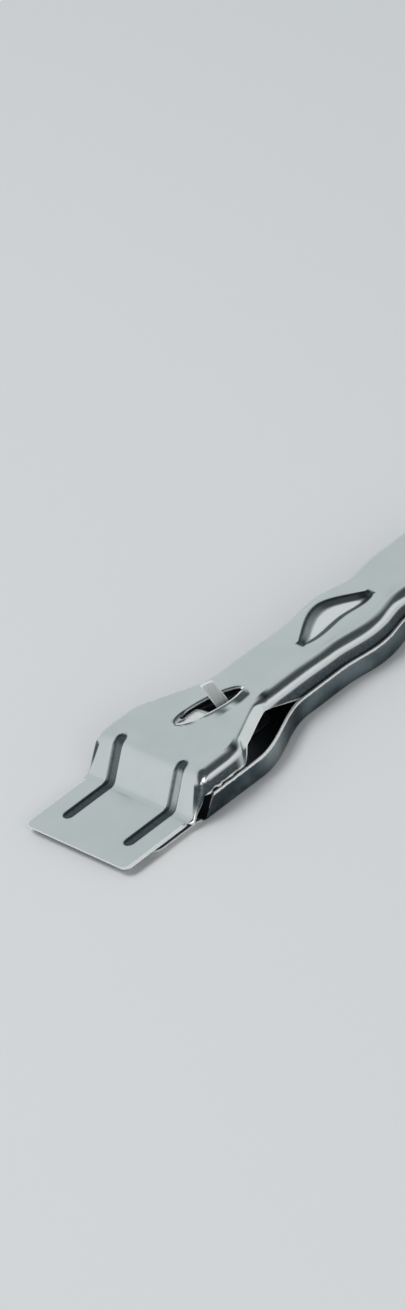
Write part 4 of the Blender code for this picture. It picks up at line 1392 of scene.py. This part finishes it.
@dataclass(frozen=True)
class LowerChannel:
    """Lower pressing: short tongue, step, flat floor and the wall that runs round the grip's end."""

    front: float = 0.0106
    tongue_rise: float = 0.00025
    tongue_half: float = 0.0205
    tongue_corner: float = 0.0030
    step_length: float = 0.0030
    step_rows: int = 12
    step_steepness: float = 1.5
    wall_front: float = 0.0290
    wall_lean: float = 0.0042
    wall_lean_reach: float = 0.0080
    wall_height: float = 0.0064
    wall_painted_light: Patch = Patch(0.0570, 0.0100, 0.62)
    rear_height: float = 0.0048
    bend: float = 0.0013
    corner: float = 0.1427
    corner_radius: float = 0.0050
    corner_rows: int = 14
    flange: float = 0.0012
    fine_step: float = 0.0005
    wide_step: float = 0.0010
    floor_columns: int = 10
    bend_columns: int = 7
    wall_columns: int = 8
    soft_edge: float = 0.00012

    def floor_half(self, place: float) -> float:
        """Half width of the flat floor."""
        return PLAN.channel_outer(place) - self.bend

    def wall(self, place: float) -> dict[str, float]:
        """Bend and wall at a place, as a row's radius, fall and lean.

        Args:
            place: where along the tool.

        Returns:
            The three values by their names.
        """
        grow = smooth(1.0 + (place - self.wall_front) / self.flange)
        if place < self.wall_front - PLAN.sheet / 100:
            return {"radius": self.bend * grow, "fall": 0.0, "lean": 0.0}
        height = mix(self.wall_height, self.rear_height, ease(place, self.corner, self.corner_radius / 2))
        lean = self.wall_lean * (1.0 - ease(place, self.wall_front, self.wall_lean_reach))
        return {"radius": self.bend, "fall": height - self.bend, "lean": lean}

    def rows(self) -> list[Row]:
        """All rows, from the tongue's front edge round to the middle of the rear end.

        Returns:
            The rows.
        """
        rows = front_corner(self.front, self.tongue_half, self.tongue_corner, self.tongue_rise)
        start = self.wall_front - self.step_length
        for place in spread(self.front + self.tongue_corner, start, self.wide_step)[1:]:
            rows.append(Row(place, self.tongue_rise, (place, self.tongue_half)))
        for place in spread(start, self.wall_front, self.step_length / self.step_rows)[1:-1]:
            height = self.tongue_rise * (1.0 - smooth((place - start) / self.step_length * self.step_steepness))
            flare = smooth(1.0 + (place - self.wall_front) / self.flange)
            half = mix(self.tongue_half, self.floor_half(place), flare)
            rows.append(Row(place, height, (place, half), **self.wall(place)))
        lean_end = self.wall_front + self.wall_lean_reach
        for place in (spread(self.wall_front, lean_end, self.fine_step)
                      + spread(lean_end, self.corner, self.wide_step)[1:-1]):
            rows.append(Row(place, 0.0, (place, self.floor_half(place)), outward_at(PLAN.channel_outer, place),
                            **self.wall(place)))
        return rows + rear_end(self.corner, self.corner_radius, self.floor_half(self.corner), 0.0,
                               self.corner_rows, self.wide_step, self.wall)

    def build(self, shop: Workshop) -> None:
        """Builds the channel.

        Args:
            shop: the workshop that finishes the piece.
        """
        sheet = Sheet("channel_shell", self.rows(), lambda row: [0.0, 1.0], (self.floor_columns,),
                      self.bend_columns, self.wall_columns, False)
        mesh = sheet.mesh(lambda row, column: False)
        mesh.verts.layers.float.remove(mesh.verts.layers.float[FLAT])
        # Painted reflection: a lighter patch along the middle of the wall, through the painted shade-and-light
        # layer, whose colour is light on the channel.
        painted_shade_and_light = mesh.verts.layers.float.new(PAINTED_SHADE_AND_LIGHT)
        for vertex in mesh.verts:
            on_wall = float(vertex.co.z > self.bend / 2)
            vertex[painted_shade_and_light] = self.wall_painted_light.at(vertex.co.x + PLAN.length / 2) * on_wall
        shop.piece(sheet.name, mesh, Body.CHANNEL, "plated_channel", ["lower_channel"], PLAN.sheet, -1.0,
                   self.soft_edge, [PLAN.hinge_bore()], True)


@dataclass(frozen=True)
class Strip:
    """A bent strip of sheet, laid as a grid along its middle surface."""

    name: str
    path: tuple[Vector, ...]
    halves: tuple[float, ...]
    width_way: Vector
    columns: int = 8
    worn_and_highlight: float = 0.8

    def mesh(self) -> bmesh.types.BMesh:
        """The strip without thickness.

        Returns:
            The mesh.
        """
        mesh = bmesh.new()
        steps = len(self.path) - 1
        bmesh.ops.create_grid(mesh, x_segments=steps, y_segments=self.columns, size=1.0)
        wear_and_highlight = mesh.verts.layers.float.new(WEAR_AND_HIGHLIGHT)
        for vertex in mesh.verts:
            share = vertex.co.y
            row, column = round((vertex.co.x + 1.0) * steps / 2), round((share + 1.0) * self.columns / 2)
            # Scuffing with painted edge highlight along the strip's ends and sides.
            vertex[wear_and_highlight] = self.worn_and_highlight * float(row in (0, steps) or column in (0, self.columns))
            vertex.co = self.path[row] + self.width_way * (share * self.halves[row])
        bmesh.ops.recalc_face_normals(mesh, faces=mesh.faces)
        return mesh


@dataclass(frozen=True)
class Turned:
    """A turned or riveted piece with a domed head."""

    name: str
    body: Body
    middle: tuple[float, float, float]
    profile: tuple[tuple[float, float], ...]
    across: bool = False
    steps: int = 40
    soft_edge: float = 0.00006

    @staticmethod
    def dome(radius: float, foot: float, top: float, rim: float = 0.35,
             steps: int = 6) -> list[tuple[float, float]]:
        """A domed head's profile from the axis down to its foot.

        Args:
            radius: the head's radius.
            foot: height of its underside.
            top: height of its crown.
            rim: height of its edge as a share of its own.
            steps: points on the dome.

        Returns:
            Radius and height of each point.
        """
        points = [(radius * math.sin(turn), mix(foot, top, rim + (1.0 - rim) * math.cos(turn)))
                  for turn in quarter(steps)]
        return points + [(radius, foot)]

    def build(self, shop: Workshop) -> None:
        """Turns the piece and puts it in place.

        Args:
            shop: the workshop that finishes the piece.
        """
        mesh = bmesh.new()
        points = [mesh.verts.new((radius, 0.0, height)) for radius, height in self.profile]
        edges = [mesh.edges.new(pair) for pair in zip(points, points[1:])]
        bmesh.ops.spin(mesh, geom=points + edges, cent=(0.0, 0.0, 0.0), axis=(0.0, 0.0, 1.0), angle=2 * math.pi,
                       steps=self.steps, use_merge=True)
        bmesh.ops.remove_doubles(mesh, verts=mesh.verts, dist=MERGE)
        if self.across:
            bmesh.ops.rotate(mesh, verts=mesh.verts, matrix=Matrix.Rotation(math.pi / 2, 3, "X"))
        bmesh.ops.translate(mesh, verts=mesh.verts, vec=self.middle)
        bmesh.ops.recalc_face_normals(mesh, faces=mesh.faces)
        shop.piece(self.name + "_turned", mesh, self.body, "rivet_steel", [self.name], soften=self.soft_edge)


@dataclass(frozen=True)
class SlideRivet:
    """Rivet that holds a strip's foot on the slide, with a domed head above the foot."""

    name: str
    middle: tuple[float, float, float]
    shank: float = 0.0010
    base: float = 0.0011
    head: float = 0.0018
    head_thickness: float = 0.0005
    gap: float = 0.0003
    hole: float = 0.0013
    hole_reach: float = 0.003

    def bore(self) -> Bore:
        """Its hole in the strip's foot."""
        return Bore(self.middle, self.hole, self.hole_reach)

    def build(self, shop: Workshop, thickness: float) -> None:
        """Builds the rivet over the strip's foot.

        Args:
            shop: the workshop that finishes the piece.
            thickness: thickness of the foot.
        """
        under = self.middle[2] + thickness + self.gap
        profile = Turned.dome(self.head, under, under + self.head_thickness)
        profile += [(self.shank, under), (self.shank, self.base), (0.0, self.base)]
        Turned(self.name, Body.SLIDER, (*self.middle[:2], 0.0), tuple(profile)).build(shop)


@dataclass(frozen=True)
class ThumbLug:
    """Upright thumb lug that leans forward along the slot, with a foot on the slide, and its rivet."""

    place: float = 0.05825
    across: float = 0.00105
    width: float = 0.0039
    thickness: float = 0.0008
    foot_length: float = 0.0046
    foot: float = 0.00175
    top: float = 0.0187
    rake: float = 0.32
    turn: float = math.radians(-20.0)
    corner: float = 0.0007
    inner_bend: float = 0.0004
    bend_rows: int = 6
    foot_step: float = 0.0004
    upright_step: float = 0.0010
    soft_edge: float = 0.00014

    @property
    def along_way(self) -> Vector:
        """Way along the slot in plan."""
        return Vector((math.cos(self.turn), math.sin(self.turn), 0.0))

    @property
    def across_way(self) -> Vector:
        """Way from the upright to the foot's free end in plan."""
        return Vector((-math.sin(self.turn), math.cos(self.turn), 0.0))

    @property
    def root(self) -> Vector:
        """Middle of the upright's outer face at the foot's underside."""
        slide = self.rake * (PLAN.deck - self.foot)
        return Vector((PLAN.world(self.place), self.across, self.foot)) + self.along_way * slide

    def path(self) -> list[Vector]:
        """Middle line of the strip from the foot's free end to the top.

        Returns:
            Its points, in world metres.
        """
        half, bend = self.thickness / 2, self.thickness / 2 + self.inner_bend
        shoulder = self.top - self.foot - self.corner
        line = [(out, half) for out in spread(self.foot_length, half + bend, self.foot_step)]
        line += [(half + bend - bend * math.sin(turn), half + bend - bend * math.cos(turn))
                 for turn in quarter(self.bend_rows)[1:]]
        line += [(half, up) for up in spread(half + bend, shoulder, self.upright_step)[1:]]
        line += [(half, shoulder + self.corner * math.sin(turn)) for turn in quarter(self.bend_rows)[1:]]
        return [self.root + self.across_way * out + Vector((0.0, 0.0, up)) - self.along_way * self.rake * up
                for out, up in line]

    def build(self, shop: Workshop) -> None:
        """Builds the lug and its rivet.

        Args:
            shop: the workshop that finishes the piece.
        """
        path = self.path()
        halves = []
        for point in path:
            over = min(1.0, max(0.0, point.z - (self.top - self.corner)) / self.corner)
            halves.append(self.width / 2 - self.corner * (1.0 - math.sqrt(1.0 - over ** 2)))
        strip = Strip("lug_strip", tuple(path), tuple(halves), self.along_way)
        middle = self.root + self.across_way * (self.thickness + self.foot_length) / 2
        rivet = SlideRivet("lug_rivet", tuple(middle))
        shop.piece(strip.name, strip.mesh(), Body.SLIDER, "lug_steel", ["thumb_lug"], self.thickness, 0.0,
                   self.soft_edge, [rivet.bore()])
        rivet.build(shop, self.thickness)


@dataclass(frozen=True)
class LeafSpring:
    """Leaf spring under the slot: a foot on the slide, an S-shaped rise and a rounded crest, and its rivet."""

    foot_place: float = 0.0345
    foot_length: float = 0.0060
    half: float = 0.0026
    crest_half: float = 0.0031
    crest_across: float = 0.0020
    thickness: float = 0.0004
    rise_end: float = 0.0455
    crest_place: float = 0.0520
    rear_place: float = 0.0556
    foot: float = 0.00175
    crest: float = 0.0110
    curl: float = 0.0022
    foot_step: float = 0.0006
    rise_rows: int = 25
    crest_step: float = 0.0005
    curl_rows: int = 10
    columns: int = 6
    soft_edge: float = 0.00008

    def line(self) -> list[tuple[float, float]]:
        """Place and height of the underside, from the foot's front end to the curl's rear end.

        Returns:
            The places and heights.
        """
        end = self.foot_place + self.foot_length
        line = [(place, self.foot) for place in spread(self.foot_place, end, self.foot_step)]
        line += [(mix(end, self.rise_end, share), mix(self.foot, self.crest, smooth(share)))
                 for share in spread(0.0, 1.0, 1 / self.rise_rows)[1:]]
        line += [(place, self.crest) for place in spread(self.rise_end, self.crest_place, self.crest_step)[1:]]
        return line + [(mix(self.crest_place, self.rear_place, share),
                        self.crest - self.curl * (1.0 - math.cos(math.pi / 2 * share)))
                       for share in spread(0.0, 1.0, 1 / self.curl_rows)[1:]]

    def build(self, shop: Workshop) -> None:
        """Builds the spring and its rivet.

        Args:
            shop: the workshop that finishes the piece.
        """
        line = self.line()
        risen = [ease(height, self.foot, self.crest - self.foot) for _, height in line]
        path = tuple(Vector((PLAN.world(place), self.crest_across * share, height + self.thickness / 2))
                     for (place, height), share in zip(line, risen))
        halves = tuple(mix(self.half, self.crest_half, share) for share in risen)
        strip = Strip("spring_leaf", path, halves, Vector((0.0, 1.0, 0.0)), self.columns)
        rivet = SlideRivet("spring_rivet", (PLAN.world(self.foot_place + self.foot_length / 2), 0.0, self.foot))
        shop.piece(strip.name, strip.mesh(), Body.SLIDER, "spring_steel", ["detent_spring"], self.thickness, 0.0,
                   self.soft_edge, [rivet.bore()])
        rivet.build(shop, self.thickness)


@dataclass(frozen=True)
class HingeRivet:
    """Rivet through both pressings at the rear, with a domed head at each side."""

    shank: float = 0.0012
    head: float = 0.0024
    head_thickness: float = 0.0008
    gap: float = 0.0003

    def build(self, shop: Workshop) -> None:
        """Builds the rivet.

        Args:
            shop: the workshop that finishes the piece.
        """
        outer = PLAN.channel_outer(PLAN.hinge) + self.gap
        profile = Turned.dome(self.head, outer, outer + self.head_thickness) + [(self.shank, outer)]
        profile += [(radius, -height) for radius, height in reversed(profile)]
        middle = (PLAN.world(PLAN.hinge), 0.0, PLAN.hinge_height)
        Turned("hinge_pin", Body.CHANNEL, middle, tuple(profile), True).build(shop)


@dataclass(frozen=True)
class Softbox:
    """A square lamp that faces the tool.

    Aim is the way from the tool to the lamp, power is in watts, and mirrored says whether the plated sheet mirrors
    the lamp.
    """

    name: str
    aim: tuple[float, float, float]
    size: float
    power: float
    mirrored: bool
    reach: float = 1.6

    def hang(self) -> None:
        """Hangs the lamp."""
        data = bpy.data.lights.new(self.name, "AREA")
        data.shape = "RECTANGLE"
        data.size, data.size_y = self.size, self.size
        data.energy = self.power
        made = put(self.name, data)
        made.visible_glossy = self.mirrored
        way = Vector(self.aim).normalized()
        made.location = way * self.reach
        made.rotation_mode = "QUATERNION"
        made.rotation_quaternion = way.to_track_quat("Z", "Y")


@dataclass(frozen=True)
class Studio:
    """Floor, lamps, world and camera.

    The room's bands run between two parts of a way's length along one axis, where a wall or ceiling fades in.
    """

    frame_height: float = 1310.0
    focal: float = 9000.0
    sensor: float = 36.0
    sight: float = 20.0
    eye: tuple[float, float, float] = (-1.05349, -1.67747, 1.35064)
    right: tuple[float, float, float] = (0.71106622, -0.66053578, -0.24099236)
    up: tuple[float, float, float] = (0.53068210, 0.27932284, 0.80022201)
    back: tuple[float, float, float] = (-0.46126059, -0.69690117, 0.54915155)
    floor_size: float = 8.0
    room_light: tuple[float, float, float, float] = (0.55, 0.59, 0.595, OPAQUE)
    room_glow: tuple[float, float, float, float] = (0.74, 0.755, 0.755, OPAQUE)
    room_shade: tuple[float, float, float, float] = (0.055, 0.065, 0.07, OPAQUE)
    back_band: tuple[float, float] = (-0.20, 0.50)
    ceiling_band: tuple[float, float] = (0.80, 0.95)
    low_band: tuple[float, float] = (0.40, 0.54)
    near_band: tuple[float, float] = (-0.30, 0.30)
    left_band: tuple[float, float] = (0.10, 0.60)
    left_share: float = 0.45
    horizon_band: tuple[float, float] = (0.02, 0.14)
    horizon_share: float = 0.7
    lamps: tuple[Softbox, ...] = (Softbox("top_key", (-0.25, 0.35, 0.90), 0.8, 11.0, False),
                                  Softbox("front_fill", (-0.35, -0.80, 0.50), 1.0, 6.0, True))

    def camera(self) -> None:
        """Sets up the camera at the photograph's viewing angle."""
        data = bpy.data.cameras.new("camera")
        data.sensor_width = self.sensor
        data.lens = self.focal * self.sensor / self.frame_height
        data.clip_end = self.sight
        made = put("camera", data)
        eye = Vector(self.eye) + Vector((PLAN.world(0.0), 0.0, 0.0))
        turn = Matrix((self.right, self.up, self.back)).transposed()
        made.matrix_world = Matrix.Translation(eye) @ turn.to_4x4()
        bpy.context.scene.camera = made

    def floor(self) -> None:
        """Lays the floor."""
        mesh = bmesh.new()
        bmesh.ops.create_grid(mesh, x_segments=2, y_segments=2, size=self.floor_size / 2)
        made = put_mesh("floor", mesh)
        made.data.materials.append(MattPaper().make())

    def world(self) -> None:
        """Lights the room: a bright back wall, a bright low band round the rest, and a dim front and ceiling."""
        world = bpy.data.worlds.new("studio")
        bpy.context.scene.world = world
        world.use_nodes = True
        bench = Bench(world.node_tree)
        way = bench.node("ShaderNodeTexCoord", {}, {}).outputs["Generated"]
        parts = bench.node("ShaderNodeSeparateXYZ", {}, {0: way})
        side, behind, rise = (Signal(bench, parts.outputs[axis]) for axis in "XYZ")
        back_wall = bench.between(behind, *self.back_band) * (1.0 - bench.between(rise, *self.ceiling_band))
        low_wall = 1.0 - bench.between(rise, *self.low_band)
        room = bench.blend(back_wall + low_wall, self.room_shade, self.room_light)
        near = 1.0 - bench.between(behind, *self.near_band)
        left_wall = bench.between(0.0 - side, *self.left_band) * back_wall
        horizon = 1.0 - bench.between(rise, *self.horizon_band)
        glow = left_wall * self.left_share + low_wall * near + horizon * self.horizon_share
        room = bench.blend(glow, room, self.room_glow)
        light = bench.node("ShaderNodeBackground", {}, {"Color": room, "Strength": 1.0})
        bench.node("ShaderNodeOutputWorld", {}, {"Surface": light.outputs[0]})

    def build(self) -> None:
        """Sets up the whole studio."""
        self.camera()
        self.floor()
        self.world()
        for lamp in self.lamps:
            lamp.hang()
        bpy.context.scene.view_settings.view_transform = "Standard"


def dress_nodes() -> dict[str, bpy.types.Material]:
    """Gives every carried-over node its finish.

    Returns:
        The finishes by the record's slot names.
    """
    finishes = {"plated_cover": COVER_STEEL, "plated_channel": CHANNEL_PAINTED_SHADE_STEEL, "blade_steel": BLADE_STEEL,
                "slide_steel": SLIDE_STEEL, "lug_steel": LUG_STEEL, "spring_steel": SPRING_STEEL,
                "rivet_steel": RIVET_STEEL}
    made = {name: finish.make() for name, finish in finishes.items()}
    for part in frame["record"]["subparts"]:
        node = frame["nodes"][part["node"]]
        node.data.materials.clear()
        node.data.materials.append(made[part["material_slot"]])
    return made


def main() -> None:
    """Builds the pieces in order and reports each."""
    logging.basicConfig(level=logging.INFO, format="%(message)s")
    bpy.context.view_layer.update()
    shop = Workshop(dress_nodes())
    for sub_assembly in (LowerChannel(), TopCover(), ThumbLug(), LeafSpring(), HingeRivet()):
        sub_assembly.build(shop)
    Studio().build()
    LOG.info("studio: floor, lamps and camera")


if __name__ == "__main__":
    main()
